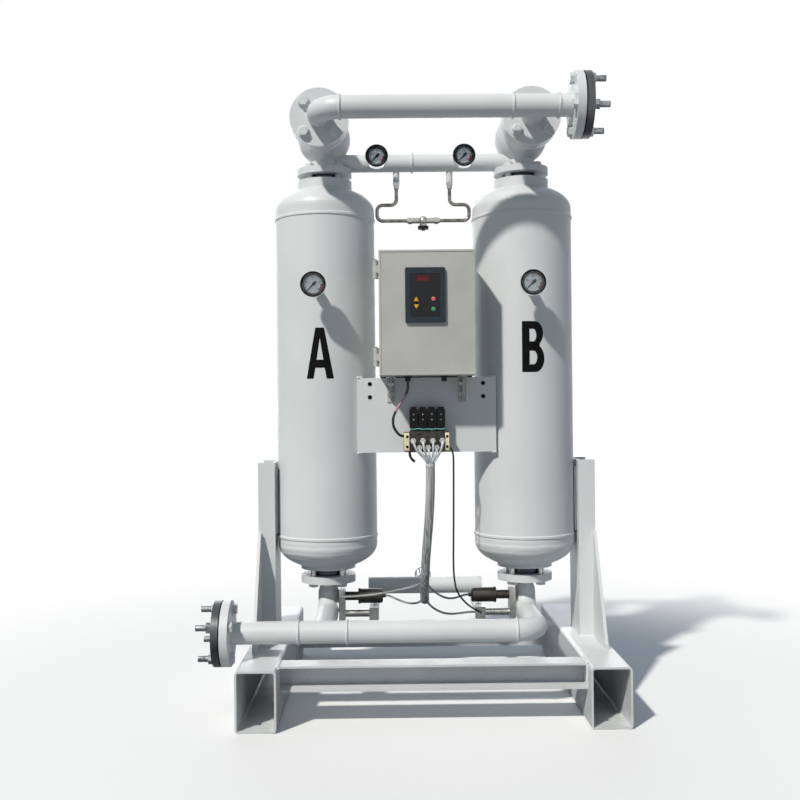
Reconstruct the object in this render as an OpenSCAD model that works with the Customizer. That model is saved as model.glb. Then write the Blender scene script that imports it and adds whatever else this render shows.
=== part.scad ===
// Twin-tower desiccant air dryer: two packed vessels on a welded skid, with inlet and
// exhaust pipework below, check valves, outlet header and purge line above, and a control
// cabinet between the towers. Millimetres, X to the right, Y to the back, Z up, floor at Z = 0.

/* [Towers] */
// Outside diameter of a tower shell
tower_od = 273; // [260:1:290]
// Wall of the shell and heads
tower_wall = 6; // [5:0.5:8]
// Distance of a tower axis from the middle of the dryer
tower_x = 273; // [265:1:285]
// Height of the lower head weld above the floor
weld_low = 427; // [415:1:440]
// Shell length between the two head welds
shell_len = 870; // [820:5:900]
// Straight skirt of a dished head
head_skirt = 25; // [20:1:32]
// Width of a head weld bead
bead_w = 10; // [6:1:14]
// Height of a weld bead above the surface
bead_h = 2.5; // [1.5:0.5:3]
// Drop of the bottom nozzle face below the lower weld
pad_drop = 91; // [86:1:100]
// Rise of the top nozzle face above the upper weld
pad_rise = 108; // [102:1:116]
// Height of the perforated support screens
screen_t = 4; // [3:0.5:6]

/* [Nozzle flanges] */
// Outside diameter of the nozzle and cover flanges
nozzle_od = 150; // [146:1:156]
// Bolt circle of the nozzle and cover flanges
nozzle_pcd = 110; // [106:1:114]
// Bolt hole diameter of all flanges
flange_hole = 18; // [17.5:0.5:20]
// Bolt diameter of all flanges
bolt_d = 16; // [14:1:16]
// Inside diameter of the nozzles
nozzle_bore = 43; // [40:1:46]
// Thickness of a flange gasket
gasket_t = 3; // [2:0.5:4]
// Thickness of the bottom strainer collar
collar_low_t = 12; // [8:1:16]
// Thickness of the top strainer collar
collar_high_t = 9; // [6:0.5:12]
// Outside diameter of the strainer collars and nozzle gaskets
collar_od = 90; // [84:1:92]
// Thickness of the lower nozzle flange
low_flange_t = 20; // [16:1:24]
// Thickness of the upper nozzle flange
high_flange_t = 18; // [16:1:24]

/* [Headers] */
// Outside diameter of the inlet and outlet header pipe
pipe_od = 57; // [54:1:60]
// Wall of the header pipe
pipe_wall = 3.5; // [3:0.5:5]
// Outside diameter of the riser, purge and exhaust pipe
riser_od = 48; // [45:1:48]
// Drop of the inlet header axis below the lower nozzle flanges
riser_drop = 84; // [78:1:90]
// Distance of the inlet header in front of the tower axes
inlet_front = 265; // [250:1:275]
// Bend radius of the inlet header elbows
inlet_bend = 57; // [50:1:60]
// Distance of the outlet header in front of the cover face
outlet_front = 83; // [78:1:95]
// Bend radius of the outlet header elbow
outlet_bend = 57; // [50:1:60]
// Outside diameter of the inlet and outlet end flanges
port_od = 165; // [160:1:175]
// Bolt circle of the end flanges
port_pcd = 125; // [120:1:130]
// Thickness of the welded end flange
port_t = 20; // [16:1:22]
// Thickness of the loose counter flange
counter_t = 18; // [14:1:22]
// Radial clearance of a pipe in the counter flange
counter_clear = 0.5; // [0.3:0.1:1]
// Distance of the inlet end flange from the middle of the dryer
inlet_port_x = 502; // [490:1:520]
// Distance of the outlet end flange from the middle of the dryer
outlet_port_x = 362; // [355:1:400]
// Turn of the inlet bolt circle
inlet_turn = 25; // [0:5:45]
// Turn of the outlet bolt circle
outlet_turn = 15; // [0:5:45]
// Free stud length past the counter flange
stud_tail = 39; // [28:1:45]

/* [Outlet valves] */
// Height of the cover axis above the upper nozzle flange
cover_rise = 86; // [82:1:92]
// Distance of the cover face in front of the tower axis
cover_front = 225; // [215:1:235]
// Thickness of the cover and of the valve's cover flange
cover_t = 26; // [22:1:28]
// Radius of the valve belly
belly_r = 72; // [66:1:76]
// Radius of the valve's neck
neck_r = 38; // [36:1:39]
// Outside radius of the barrel behind the cover flange
barrel_r = 52; // [50:1:54]
// Radius of the check chamber
chamber_r = 36; // [34:0.5:38]
// Lift of the check disc
check_lift = 25; // [10:1:30]

/* [Purge line] */
// Height of the purge pipe axis above the upper nozzle flange face
purge_rise = 19; // [18:1:22]
// Distance of a purge stub from its tower axis
purge_stub = 78; // [76:1:84]
// Distance of the purge tube fittings from the middle
purge_tap_x = 74; // [60:1:80]
// Outside diameter of the bent purge tubes
purge_tube_d = 10; // [8:1:12]
// Drop of the needle valve below the purge pipe
needle_drop = 160; // [150:1:170]
// Diameter of the needle valve knob
knob_d = 30; // [24:1:36]

/* [Gauges] */
// Bezel diameter of the tower gauges
tower_gauge_d = 68; // [60:1:72]
// Bezel diameter of the purge gauges
purge_gauge_d = 62; // [56:1:66]
// Depth of a gauge case
gauge_depth = 30; // [24:1:34]
// Wall of a gauge case
gauge_wall = 3; // [2:0.5:4]
// Height of the tower gauges above the lower weld
gauge_rise = 669; // [600:1:700]
// Side offset of the left tower's gauge
gauge_a_side = 19; // [0:1:24]
// Place of the left purge gauge, from the middle
purge_gauge_left = 127; // [115:1:140]
// Place of the right purge gauge, from the middle
purge_gauge_right = 109; // [105:1:125]

/* [Cabinet] */
// Width of the cabinet
cab_w = 248; // [230:1:256]
// Height of the cabinet
cab_h = 322; // [300:1:340]
// Depth of the cabinet body behind the door
cab_d = 140; // [130:1:150]
// Sheet thickness of cabinet and door
sheet_t = 2; // [1.5:0.5:2.5]
// Depth of the door pan
door_d = 18; // [16:1:24]
// Distance of the door face in front of the tower axes
door_front = 225; // [220:1:235]
// Width of the controller
ctrl_w = 103; // [90:1:115]
// Height of the controller
ctrl_h = 141; // [130:1:150]
// Height of the controller's middle above the cabinet's middle
ctrl_up = 44; // [30:1:60]
// Distance of each hinge from the cabinet's middle
hinge_up = 113; // [90:1:125]
// Distance of the hinge axis from the cabinet's side
hinge_out = 9; // [8:0.5:11]

/* [Panel] */
// Half width of the mounting panel
panel_half = 185; // [180:1:190]
// Height of the mounting panel
panel_h = 199; // [180:1:215]
// Height of the panel's top edge above the floor
panel_top = 857; // [840:1:870]
// Distance of the panel face in front of the tower axes
panel_front = 118; // [112:1:122]
// Sheet thickness of panel and brackets
panel_t = 3; // [2:0.5:4]
// Width of the valve manifold
manifold_w = 120; // [112:1:130]
// Pitch of the coils along the manifold
coil_pitch = 24; // [23:0.5:27]

/* [Skid] */
// Width of a skid rail
rail_w = 100; // [92:1:110]
// Height of a skid rail
rail_h = 150; // [130:5:160]
// Wall of a skid rail
rail_wall = 5; // [4:0.5:7]
// Length of a skid rail
rail_len = 780; // [740:10:860]
// Distance of a rail's middle outside the tower shell
rail_out = 18.5; // [14:0.5:24]
// Diameter of the anchor holes
anchor_d = 18; // [14:1:22]
// Distance of an anchor hole from the middle of its rail
anchor_y = 330; // [280:5:340]
// Height of the cross-members
cross_h = 63; // [50:1:80]
// Depth of the cross-members
cross_d = 62; // [45:1:75]
// Plate thickness of cross-members and uprights
cross_t = 5; // [4:0.5:8]
// Set-back of the cross-members from the rail ends
cross_back = 42; // [30:1:60]
// Height of the uprights above the rails
upright_h = 481; // [440:1:520]
// Width of an upright, front to back
upright_w = 136; // [120:1:150]
// Depth of an upright, away from the tower
upright_d = 45; // [40:1:50]
// Reach of a gusset along the rail
gusset_len = 150; // [120:1:165]
// Height of a gusset
gusset_h = 290; // [240:5:330]
// Plate thickness of a gusset
gusset_t = 8; // [6:1:10]

/* [Exhaust] */
// Height of the exhaust manifold above the inlet header axis
exhaust_up = 42; // [38:1:50]
// Distance of the exhaust manifold behind the tower axes
exhaust_back = 150; // [130:1:165]
// Outside diameter of an exhaust actuator
actuator_d = 40; // [36:1:42]
// Length of an exhaust actuator
actuator_len = 68; // [60:1:76]
// Travel of an exhaust plunger
plunger_lift = 12; // [6:1:14]
// Outside diameter of the silencer
silencer_d = 50; // [46:1:54]
// Length of the silencer
silencer_len = 130; // [110:1:140]

/* [Hidden] */
$fn = 64;

PAINT = [0.83, 0.85, 0.85];
GREY = [0.70, 0.71, 0.70];
STEEL = [0.62, 0.61, 0.58];
DARK_STEEL = [0.28, 0.29, 0.30];
ZINC = [0.75, 0.75, 0.74];
BLACK = [0.07, 0.07, 0.08];
CLEAR_TUBE = [0.78, 0.80, 0.82];
eps = 1;
slip = 0.3;
run = 0.04;

tower_r = tower_od / 2;
weld_high = weld_low + shell_len;
head_h = tower_od / 4;
pad_low = weld_low - pad_drop;
pad_high = weld_high + pad_rise;
collar_low_z = pad_low - gasket_t - collar_low_t;
low_flange_top = collar_low_z - gasket_t;
low_flange_z = low_flange_top - low_flange_t;
collar_high_z = pad_high + gasket_t;
high_flange_z = collar_high_z + collar_high_t + gasket_t;
high_flange_top = high_flange_z + high_flange_t;
bore_r = nozzle_bore / 2;
bolt_r = bolt_d / 2;
head_hex_h = 0.625 * bolt_d;
nut_h = 0.8 * bolt_d;
tap_clear = 0.15;

pipe_r = pipe_od / 2;
pipe_in = pipe_r - pipe_wall;
riser_r = riser_od / 2;
riser_in = riser_r - pipe_wall;
inlet_z = low_flange_z - riser_drop;
inlet_y = -inlet_front;
cover_z = high_flange_top + cover_rise;
cover_y = -cover_front;
outlet_y = cover_y - outlet_front;
purge_z = high_flange_top + purge_rise;
purge_end = tower_x - purge_stub;

gauge_z = weld_low + gauge_rise;
gauge_seat = 33;
coupling_len = 34;
socket_r = 13;
stem_r = 7;
stem_len = 35;

cab_z = panel_top + panel_t;
cab_mid = cab_z + cab_h / 2;
door_y = -door_front;
body_y = door_y + door_d + slip;
cab_back_y = body_y + cab_d;
hinge_x = -cab_w / 2 - hinge_out;
hinge_y = door_y + door_d + slip / 2;
panel_y = -panel_front;
panel_z = panel_top - panel_h;

rail_x = tower_x + tower_r + rail_out;
rail_inner = rail_x - rail_w / 2;
upright_x = tower_x + tower_r + bead_h + 0.8;

exhaust_z = inlet_z + exhaust_up;
branch_y = -inlet_bend * (1 - sin(45));
branch_z = inlet_z + inlet_bend * (1 - cos(45));
block_x = tower_x - pipe_r - 1.5;
block_t = 17;
block_w = 40;
actuator_z = branch_z + 27;
outlet_tube_z = branch_z - 21;
outlet_tube_r = 10;
bonnet_r = 12;
bonnet_len = 36;
bonnet_x = block_x - block_t;
actuator_x = bonnet_x - bonnet_len;
elbow_block = 26;
elbow_block_x = actuator_x - actuator_len + 12;
branch_pipe_r = 13.5;

// Routes of the tubes and cables, chosen by hand
BUNDLE_D = 24;
BUNDLE = [[6, -172, 630], [6, -173, 600], [5, -173, 555], [3, -171, 510], [0, -167, 465],
    [-4, -160, 420], [-7, -151, 380], [-9, -139, 340], [-10, -122, 305], [-10, -102, 275],
    [-9, -85, 256]];
TUBE_D = 6;
COIL_TUBES = [
    [[-38, -176, 690], [-38, -186, 690], [-37.5, -195, 686], [-34, -199, 676], [-28.5, -197, 665],
        [-18, -187, 653], [-8.5, -177, 642], [-1.8, -172.5, 631]],
    [[-13, -176, 690], [-13, -186, 690], [-13, -195, 686], [-11.5, -199, 676], [-9, -197, 665],
        [-4.5, -187, 653], [0, -174, 643], [2.1, -165.7, 631]],
    [[13, -176, 690], [13, -186, 690], [13, -195, 686], [13, -199, 676], [13, -197, 665],
        [12.3, -187, 653], [12, -174, 643], [9.9, -165.7, 631]],
    [[38, -176, 690], [38, -186, 690], [37.5, -195, 686], [35.5, -199, 676], [32, -197, 665],
        [26.5, -187, 653], [20.5, -177, 642], [13.8, -172.5, 631]],
    [[-21.5, -176, 672], [-21.5, -185, 671.7], [-21, -193.5, 667.5], [-17, -197, 659],
        [-9.5, -193, 650], [-2.5, -186.5, 642], [2.1, -179.3, 631]],
    [[1, -176, 672], [1, -185, 671.7], [1.2, -193.5, 667.5], [2.2, -195.5, 658.5], [4, -190, 649.5],
        [6, -181, 642], [6, -172.5, 631]],
    [[23, -176, 672], [23, -185, 671.7], [22.6, -193.5, 667.5], [20.2, -197, 659],
        [17, -193, 650], [14.5, -186.5, 642], [9.9, -179.3, 631]]];
PILOT_TUBES = [
    [[-12, -126, 312], [-40, -118, 300], [-80, -106, 288], [-120, -96, 279], [-160, -86, 272],
        [-195, -74, 267], [-222, -62, 264], [-233, -53, 262.2], [-234.5, -45.1, 261.7]],
    [[-12, -92, 262], [-26, -80, 250], [-44, -66, 245], [-64, -52, 246], [-84, -36, 251],
        [-100, -23, 256], [-107, -17.5, 257.7], [-113.7, -16.7, 257.7]],
    [[-6, -124, 310], [10, -112, 290], [28, -98, 274], [48, -80, 262], [68, -58, 256],
        [88, -34, 256], [104, -19, 257.5], [113.7, -16.7, 257.7]],
    [[-6, -90, 258], [8, -82, 240], [26, -72, 226], [46, -60, 216], [68, -46, 211],
        [92, -30, 209.7], [116, -18, 209.7], [133.7, -16.7, 209.7]]];
CABLE_D = 7;
COIL_CABLE = [[-50, -160, 862], [-50, -160, 842], [-51, -161, 826], [-58, -164, 806],
    [-72, -168, 786], [-84, -170, 766], [-90, -169, 746], [-88, -163, 726], [-78, -154, 710],
    [-70, -148, 704], [-63.1, -146, 702]];
SIGNAL_D = 5;
SIGNAL_CABLE = [[58.9, -150, 670], [63, -151, 667], [67, -152, 654], [68, -152, 634],
    [68, -149, 590], [68, -143, 540], [68, -134, 485], [68, -122, 430], [68, -110, 375],
    [70, -96, 325], [77, -80, 285], [90, -66, 260], [106, -56, 241], [124, -48, 226],
    [140, -42, 216], [146.5, -38, 212.5], [147, -34.1, 212]];

module rounded_rect(w, h, r) {
    square([w - 2 * r, h], center = true);
    square([w, h - 2 * r], center = true);
    for (sx = [-1, 1], sy = [-1, 1])
        translate([sx * (w / 2 - r), sy * (h / 2 - r)]) circle(r);
}

// A cylinder along X, from x0 to x1
module bar_x(r, x0, x1) {
    translate([min(x0, x1), 0, 0]) rotate([0, 90, 0]) cylinder(r = r, h = abs(x1 - x0));
}

// A cylinder along Y, from y0 to y1
module bar_y(r, y0, y1) {
    translate([0, min(y0, y1), 0]) rotate([-90, 0, 0]) cylinder(r = r, h = abs(y1 - y0));
}

// A quarter bend in the XY plane, from the +X axis to the +Y axis
module bend(radius, r) {
    rotate_extrude(angle = 90) translate([radius, 0]) circle(r);
}

// Children at each hole of a bolt circle about Z
module bolt_circle(pcd, turn = 45) {
    for (k = [0:3]) rotate(turn + 90 * k) translate([pcd / 2, 0, 0]) children();
}

// A hexagon head bolt along +Z, its seat at Z = 0
module hex_bolt(length) {
    translate([0, 0, -head_hex_h]) cylinder(r = 0.866 * bolt_d, h = head_hex_h, $fn = 6);
    cylinder(r = bolt_r, h = length);
}

module hex_nut(z) {
    translate([0, 0, z]) cylinder(r = 0.866 * bolt_d, h = nut_h, $fn = 6);
}

module ring(r_out, r_in, h) {
    difference() {
        cylinder(r = r_out, h = h);
        translate([0, 0, -eps]) cylinder(r = r_in, h = h + 2 * eps);
    }
}

module at_towers() {
    for (side = [-1, 1]) translate([side * tower_x, 0, 0]) children();
}

// Points of a quarter ellipse from the rim to the crown
head_steps = 14;
function head_arc(r, h, z, up) =
    [for (i = [0:head_steps]) let (a = 90 * i / head_steps) [r * cos(a), z + up * h * sin(a)]];
function reversed(list) = [for (i = [len(list) - 1:-1:0]) list[i]];
function bead(z) = [[tower_r, z - bead_w / 2], [tower_r + bead_h, z - bead_w / 4],
    [tower_r + bead_h, z + bead_w / 4], [tower_r, z + bead_w / 2]];

// Tubes swept along a route, with parallel transport of the section
function unit(v) = v / norm(v);
function heading(p, i) = i == 0 ? unit(p[1] - p[0])
    : i == len(p) - 1 ? unit(p[i] - p[i - 1])
    : unit(unit(p[i + 1] - p[i]) + unit(p[i] - p[i - 1]));
function across(p, i) = i == 0 ? unit(cross(heading(p, 0), [0.31, 0.87, 0.13]))
    : let (n = across(p, i - 1), t = heading(p, i)) unit(n - (n * t) * t);
function section(p, i, r, sides) = let (n = across(p, i), b = cross(heading(p, i), n))
    [for (k = [0:sides - 1]) p[i] + r * (cos(360 * k / sides) * n + sin(360 * k / sides) * b)];

module swept_tube(p, d, sides = 8) {
    last = (len(p) - 1) * sides;
    walls = [for (i = [0:len(p) - 2], k = [0:sides - 1])
        let (a = i * sides + k, b = i * sides + (k + 1) % sides)
        each [[a, a + sides, b + sides], [a, b + sides, b]]];
    polyhedron(points = [for (i = [0:len(p) - 1]) each section(p, i, d / 2, sides)],
        faces = concat(walls, [[for (k = [0:sides - 1]) k]],
            [[for (k = [sides - 1:-1:0]) last + k]]));
}

// Skid

module rail_section() {
    corner = 10;
    difference() {
        rounded_rect(rail_w, rail_h, corner);
        rounded_rect(rail_w - 2 * rail_wall, rail_h - 2 * rail_wall, corner / 2);
    }
}

module skid_rail(side) {
    difference() {
        translate([side * rail_x, rail_len / 2, rail_h / 2])
            rotate([90, 0, 0]) linear_extrude(rail_len) rail_section();
        for (y = [-anchor_y, anchor_y])
            translate([side * rail_x, y, -eps]) cylinder(d = anchor_d, h = rail_wall + 2 * eps);
    }
}

module left_skid_rail() { color(PAINT) skid_rail(-1); }
module right_skid_rail() { color(PAINT) skid_rail(1); }

// A folded channel across the skid, open to the front
module cross_channel() {
    difference() {
        translate([-rail_inner, 0, 0]) cube([2 * rail_inner, cross_d, cross_h]);
        translate([-rail_inner - eps, -eps, cross_t])
            cube([2 * rail_inner + 2 * eps, cross_d - cross_t + eps, cross_h - 2 * cross_t]);
    }
}

module front_crossmember() {
    color(PAINT) translate([0, -rail_len / 2 + cross_back, rail_h - cross_h]) cross_channel();
}

rear_lift = 42;
module rear_crossmember() {
    color(PAINT) translate([0, rail_len / 2 - cross_back, rear_lift])
        mirror([0, 1, 0]) cross_channel();
}

gusset_tip = 14;
module gusset_plate() {
    front = upright_w / 2;
    rotate([90, 0, 90]) linear_extrude(gusset_t) polygon([[front, 0], [front + gusset_len, 0],
        [front + gusset_len, gusset_tip], [front + gusset_tip, gusset_h], [front, gusset_h]]);
}

// Channel with its web to the tower, welded to the shell along two fillets
module upright() {
    outer = upright_x + upright_d;
    weld_w = 36;
    difference() {
        union() {
            translate([upright_x, -upright_w / 2, rail_h]) cube([cross_t, upright_w, upright_h]);
            for (y = [-upright_w / 2, upright_w / 2 - cross_t])
                translate([upright_x, y, rail_h]) cube([upright_d, cross_t, upright_h]);
            for (turn = [0, 1]) mirror([0, turn, 0])
                translate([outer - gusset_t, 0, rail_h]) gusset_plate();
            translate([upright_x - 5, -weld_w, weld_low + bead_w])
                cube([5, 2 * weld_w, rail_h + upright_h - weld_low - bead_w - 20]);
        }
        translate([tower_x, 0, 0]) cylinder(r = tower_r, h = weld_high);
    }
}

module left_upright() { color(PAINT) mirror([1, 0, 0]) upright(); }
module right_upright() { color(PAINT) upright(); }

// Towers

module vessel(gauge_side) {
    low = weld_low - head_skirt;
    high = weld_high + head_skirt;
    inner_r = tower_r - tower_wall;
    tap_depth = 7;
    tap_depth_high = 16;
    difference() {
        union() {
            rotate_extrude() polygon(concat(reversed(head_arc(tower_r, head_h, low, -1)),
                bead(weld_low), bead(weld_high), head_arc(tower_r, head_h, high, 1)));
            translate([0, 0, pad_low]) cylinder(d = nozzle_od, h = low - pad_low);
            translate([0, 0, high]) cylinder(d = nozzle_od, h = pad_high - high);
            translate([gauge_side, 0, gauge_z])
                bar_y(socket_r, -tower_r + tower_wall, -tower_r - coupling_len);
        }
        rotate_extrude() polygon(concat(
            reversed(head_arc(inner_r, head_h - tower_wall, low, -1)),
            head_arc(inner_r, head_h - tower_wall, high, 1)));
        translate([0, 0, pad_low - head_h]) cylinder(d = nozzle_od, h = head_h);
        translate([0, 0, pad_low - eps]) cylinder(r = bore_r, h = low - pad_low);
        translate([0, 0, high]) cylinder(r = bore_r, h = pad_high - high + eps);
        translate([0, 0, pad_low - eps]) bolt_circle(nozzle_pcd)
            cylinder(r = bolt_r + tap_clear, h = tap_depth + eps);
        translate([0, 0, pad_high - tap_depth_high]) bolt_circle(nozzle_pcd)
            cylinder(r = bolt_r + tap_clear, h = tap_depth_high + eps);
        translate([gauge_side, 0, gauge_z])
            bar_y(stem_r + tap_clear, -inner_r + 20, -tower_r - coupling_len - eps);
    }
}

module tower_a_vessel() { color(PAINT) translate([-tower_x, 0, 0]) vessel(-gauge_a_side); }
module tower_b_vessel() { color(PAINT) translate([tower_x, 0, 0]) vessel(0); }

module desiccant_beds() {
    color([0.93, 0.91, 0.86]) at_towers()
        translate([0, 0, weld_low + screen_t + slip])
            cylinder(r = tower_r - tower_wall - slip, h = shell_len - 2 * screen_t - 2 * slip);
}

module support_screens() {
    hole_d = 14;
    ring_pitch = 34;
    color(STEEL) at_towers() for (z = [weld_low, weld_high - screen_t]) translate([0, 0, z])
        difference() {
            cylinder(r = tower_r - tower_wall - slip, h = screen_t);
            for (k = [1:3], i = [0:6 * k - 1]) rotate(60 * i / k)
                translate([k * ring_pitch, 0, -eps]) cylinder(d = hole_d, h = screen_t + 2 * eps);
        }
}

// A slotted basket on its collar, reaching up from Z = 0
module strainer(collar_t) {
    wall = 2;
    r = bore_r - 1.5;
    basket = 62;
    slots = 8;
    difference() {
        union() {
            cylinder(d = collar_od, h = collar_t);
            cylinder(r = r, h = collar_t + basket);
        }
        translate([0, 0, -eps]) cylinder(r = r - wall, h = collar_t + basket - wall + eps);
        for (k = [0:slots - 1]) rotate(360 * k / slots)
            translate([0, -2, collar_t + 0.45 * basket]) cube([r + eps, 4, 0.4 * basket]);
    }
}

module strainers() {
    color(STEEL) at_towers() {
        translate([0, 0, collar_low_z]) strainer(collar_low_t);
        translate([0, 0, collar_high_z + collar_high_t]) mirror([0, 0, 1]) strainer(collar_high_t);
    }
}

module flange_gaskets() {
    color(BLACK) {
        at_towers()
            for (z = [low_flange_top, pad_low - gasket_t, pad_high, high_flange_z - gasket_t])
                translate([0, 0, z]) ring(collar_od / 2, bore_r + 1, gasket_t);
        at_towers() translate([0, cover_y + cover_t + gasket_t, cover_z])
            rotate([90, 0, 0]) ring(collar_od / 2, chamber_r + 1, gasket_t);
        translate([-inlet_port_x - port_t, inlet_y, inlet_z]) rotate([0, -90, 0])
            port_gasket();
        translate([outlet_port_x + port_t, outlet_y, cover_z]) rotate([0, 90, 0])
            port_gasket();
    }
}

// A ring gasket inside the bolt circle
module port_gasket() {
    inset = 2;
    ring(port_pcd / 2 - flange_hole / 2 - inset, pipe_in, gasket_t);
}

module bottom_flange_bolts() {
    engage = 6;
    color(ZINC) at_towers() translate([0, 0, low_flange_z]) bolt_circle(nozzle_pcd)
        hex_bolt(pad_low - low_flange_z + engage);
}

module top_flange_bolts() {
    engage = 14;
    color(PAINT) at_towers() translate([0, 0, high_flange_top]) mirror([0, 0, 1])
        bolt_circle(nozzle_pcd) hex_bolt(high_flange_top - pad_high + engage);
}

// Inlet pipework

// Flange on a pipe end, face at Z = 0, body below it
module pipe_flange(od, pcd, t, turn) {
    difference() {
        translate([0, 0, -t]) cylinder(d = od, h = t);
        translate([0, 0, -t - eps]) bolt_circle(pcd, turn)
            cylinder(d = flange_hole, h = t + 2 * eps);
    }
}

// Weld bead round a pipe along X
module pipe_bead_x(r) {
    bar_x(r + 1.6, -3, 3);
}

reducer_h = 14;
// The rising elbow under a tower with its reducer and neck, as outside (wall 0) or as bore
module riser(wall) {
    r = pipe_r - wall;
    grow = wall > 0 ? eps : 0;
    translate([0, -inlet_bend, inlet_z + inlet_bend]) rotate([0, 90, 0]) bend(inlet_bend, r);
    translate([0, 0, inlet_z + inlet_bend]) cylinder(r1 = r, r2 = riser_r - wall, h = reducer_h);
    translate([0, 0, inlet_z + inlet_bend + reducer_h])
        cylinder(r = riser_r - wall, h = low_flange_top - inlet_z - inlet_bend - reducer_h + grow);
}

module inlet_solid(wall) {
    grow = wall > 0 ? eps : 0;
    r = pipe_r - wall;
    translate([0, inlet_y, inlet_z])
        bar_x(r, -inlet_port_x - port_t - grow, tower_x - inlet_bend);
    translate([tower_x - inlet_bend, inlet_y + inlet_bend, inlet_z]) rotate(-90)
        bend(inlet_bend, r);
    translate([tower_x, 0, inlet_z]) bar_y(r, inlet_y + inlet_bend, -inlet_bend);
    translate([-tower_x, 0, inlet_z]) bar_y(r, inlet_y, -inlet_bend);
    at_towers() riser(wall);
    for (side = [-1, 1]) translate([0, branch_y, branch_z])
        bar_x(wall > 0 ? outlet_tube_r - 3 : 17, side * (block_x - grow), side * tower_x);
}

module inlet_manifold() {
    tee_half = 61;
    color(PAINT) difference() {
        union() {
            inlet_solid(0);
            translate([-inlet_port_x - port_t, inlet_y, inlet_z]) rotate([0, -90, 0])
                pipe_flange(port_od, port_pcd, port_t, inlet_turn);
            at_towers() translate([0, 0, low_flange_top])
                pipe_flange(nozzle_od, nozzle_pcd, low_flange_t, 45);
            for (x = [-tower_x - tee_half, -tower_x + tee_half, tower_x - inlet_bend])
                translate([x, inlet_y, inlet_z]) pipe_bead_x(pipe_r);
        }
        inlet_solid(pipe_wall);
    }
}

module counter_flange(turn) {
    difference() {
        mirror([0, 0, 1]) pipe_flange(port_od, port_pcd, counter_t, turn);
        translate([0, 0, -eps])
            cylinder(r = pipe_r + counter_clear, h = counter_t + 2 * eps);
    }
}

module at_inlet_port(step) {
    translate([-inlet_port_x - step, inlet_y, inlet_z]) rotate([0, -90, 0]) children();
}

module at_outlet_port(step) {
    translate([outlet_port_x + step, outlet_y, cover_z]) rotate([0, 90, 0]) children();
}

module inlet_counter_flange() {
    color(DARK_STEEL) at_inlet_port(port_t + gasket_t) counter_flange(inlet_turn);
}

module outlet_counter_flange() {
    color(DARK_STEEL) at_outlet_port(port_t + gasket_t) counter_flange(outlet_turn);
}

module port_bolts(turn) {
    grip = port_t + gasket_t + counter_t;
    bolt_circle(port_pcd, turn) {
        hex_bolt(grip + stud_tail);
        hex_nut(grip);
    }
}

module port_studs() {
    color(ZINC) {
        at_inlet_port(0) port_bolts(inlet_turn);
        at_outlet_port(0) port_bolts(outlet_turn);
    }
}

// Exhaust valves and manifold

// The right-hand valve: block on the riser, outlet tube and corner block
module exhaust_valve() {
    block_low = outlet_tube_z - 16;
    block_high = actuator_z + 19;
    difference() {
        union() {
            translate([block_x - block_t, branch_y - block_w / 2, block_low])
                cube([block_t, block_w, block_high - block_low]);
            translate([0, branch_y, outlet_tube_z])
                bar_x(outlet_tube_r, bonnet_x, elbow_block_x + elbow_block);
            translate([elbow_block_x, branch_y - 17, outlet_tube_z - 17])
                cube([elbow_block, 34, 34]);
            translate([block_x - block_t / 2, 0, actuator_z + 4])
                bar_y(pilot_port_r, branch_y, branch_y - block_w / 2 - pilot_port_len);
        }
        translate([0, branch_y, branch_z]) bar_x(outlet_tube_r - 3, block_x - 8, block_x + eps);
        translate([block_x - 8, branch_y, outlet_tube_z])
            cylinder(r = 5, h = actuator_z - outlet_tube_z);
        translate([0, branch_y, outlet_tube_z])
            bar_x(outlet_tube_r - 3, block_x - 8, elbow_block_x + elbow_block / 2);
        translate([elbow_block_x + elbow_block / 2, 0, outlet_tube_z])
            bar_y(outlet_tube_r - 3, branch_y, branch_y + 17 + eps);
        translate([0, branch_y, actuator_z]) bar_x(plunger_r + run, bonnet_x - eps, block_x - 8);
    }
}

plunger_r = 6;
pilot_port_r = 5.5;
pilot_port_len = 8;
module exhaust_valve_bodies() {
    color(STEEL) for (turn = [0, 1]) mirror([turn, 0, 0]) exhaust_valve();
}

piston_r = actuator_d / 2 - 3;
cap_t = 6;
// The right-hand actuator: bonnet, cylinder and rounded end with its tube port
module exhaust_actuator() {
    end_x = actuator_x - actuator_len;
    chamfer = 4;
    translate([0, branch_y, actuator_z]) difference() {
        union() {
            bar_x(bonnet_r, actuator_x, bonnet_x);
            bar_x(actuator_d / 2, actuator_x, end_x + chamfer);
            translate([end_x, 0, 0]) rotate([0, 90, 0])
                cylinder(r1 = actuator_d / 2 - chamfer, r2 = actuator_d / 2, h = chamfer);
            bar_x(actuator_d / 2 + 1.5, actuator_x - cap_t, actuator_x);
            bar_x(pilot_port_r, end_x, end_x - pilot_port_len);
        }
        bar_x(plunger_r + run, bonnet_x + eps, actuator_x - cap_t - eps);
        bar_x(piston_r + slip, end_x + 8, actuator_x - cap_t);
        bar_x(2, end_x - 9, end_x + 9);
    }
}

module exhaust_actuators() {
    color(STEEL) for (turn = [0, 1]) mirror([turn, 0, 0]) exhaust_actuator();
}

// The right-hand plunger at rest: seat end in the block, piston in the actuator
module exhaust_plunger() {
    tip_x = block_x - 8 - slip;
    piston_t = 14;
    piston_x = actuator_x - cap_t - slip;
    translate([0, branch_y, actuator_z]) {
        bar_x(plunger_r, piston_x, tip_x);
        bar_x(piston_r, piston_x - piston_t, piston_x);
    }
}

module exhaust_plunger_a() { color(ZINC) mirror([1, 0, 0]) exhaust_plunger(); }
module exhaust_plunger_b() { color(ZINC) exhaust_plunger(); }

exhaust_half = 165;
stub_r = 17;
stub_len = 35;
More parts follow.
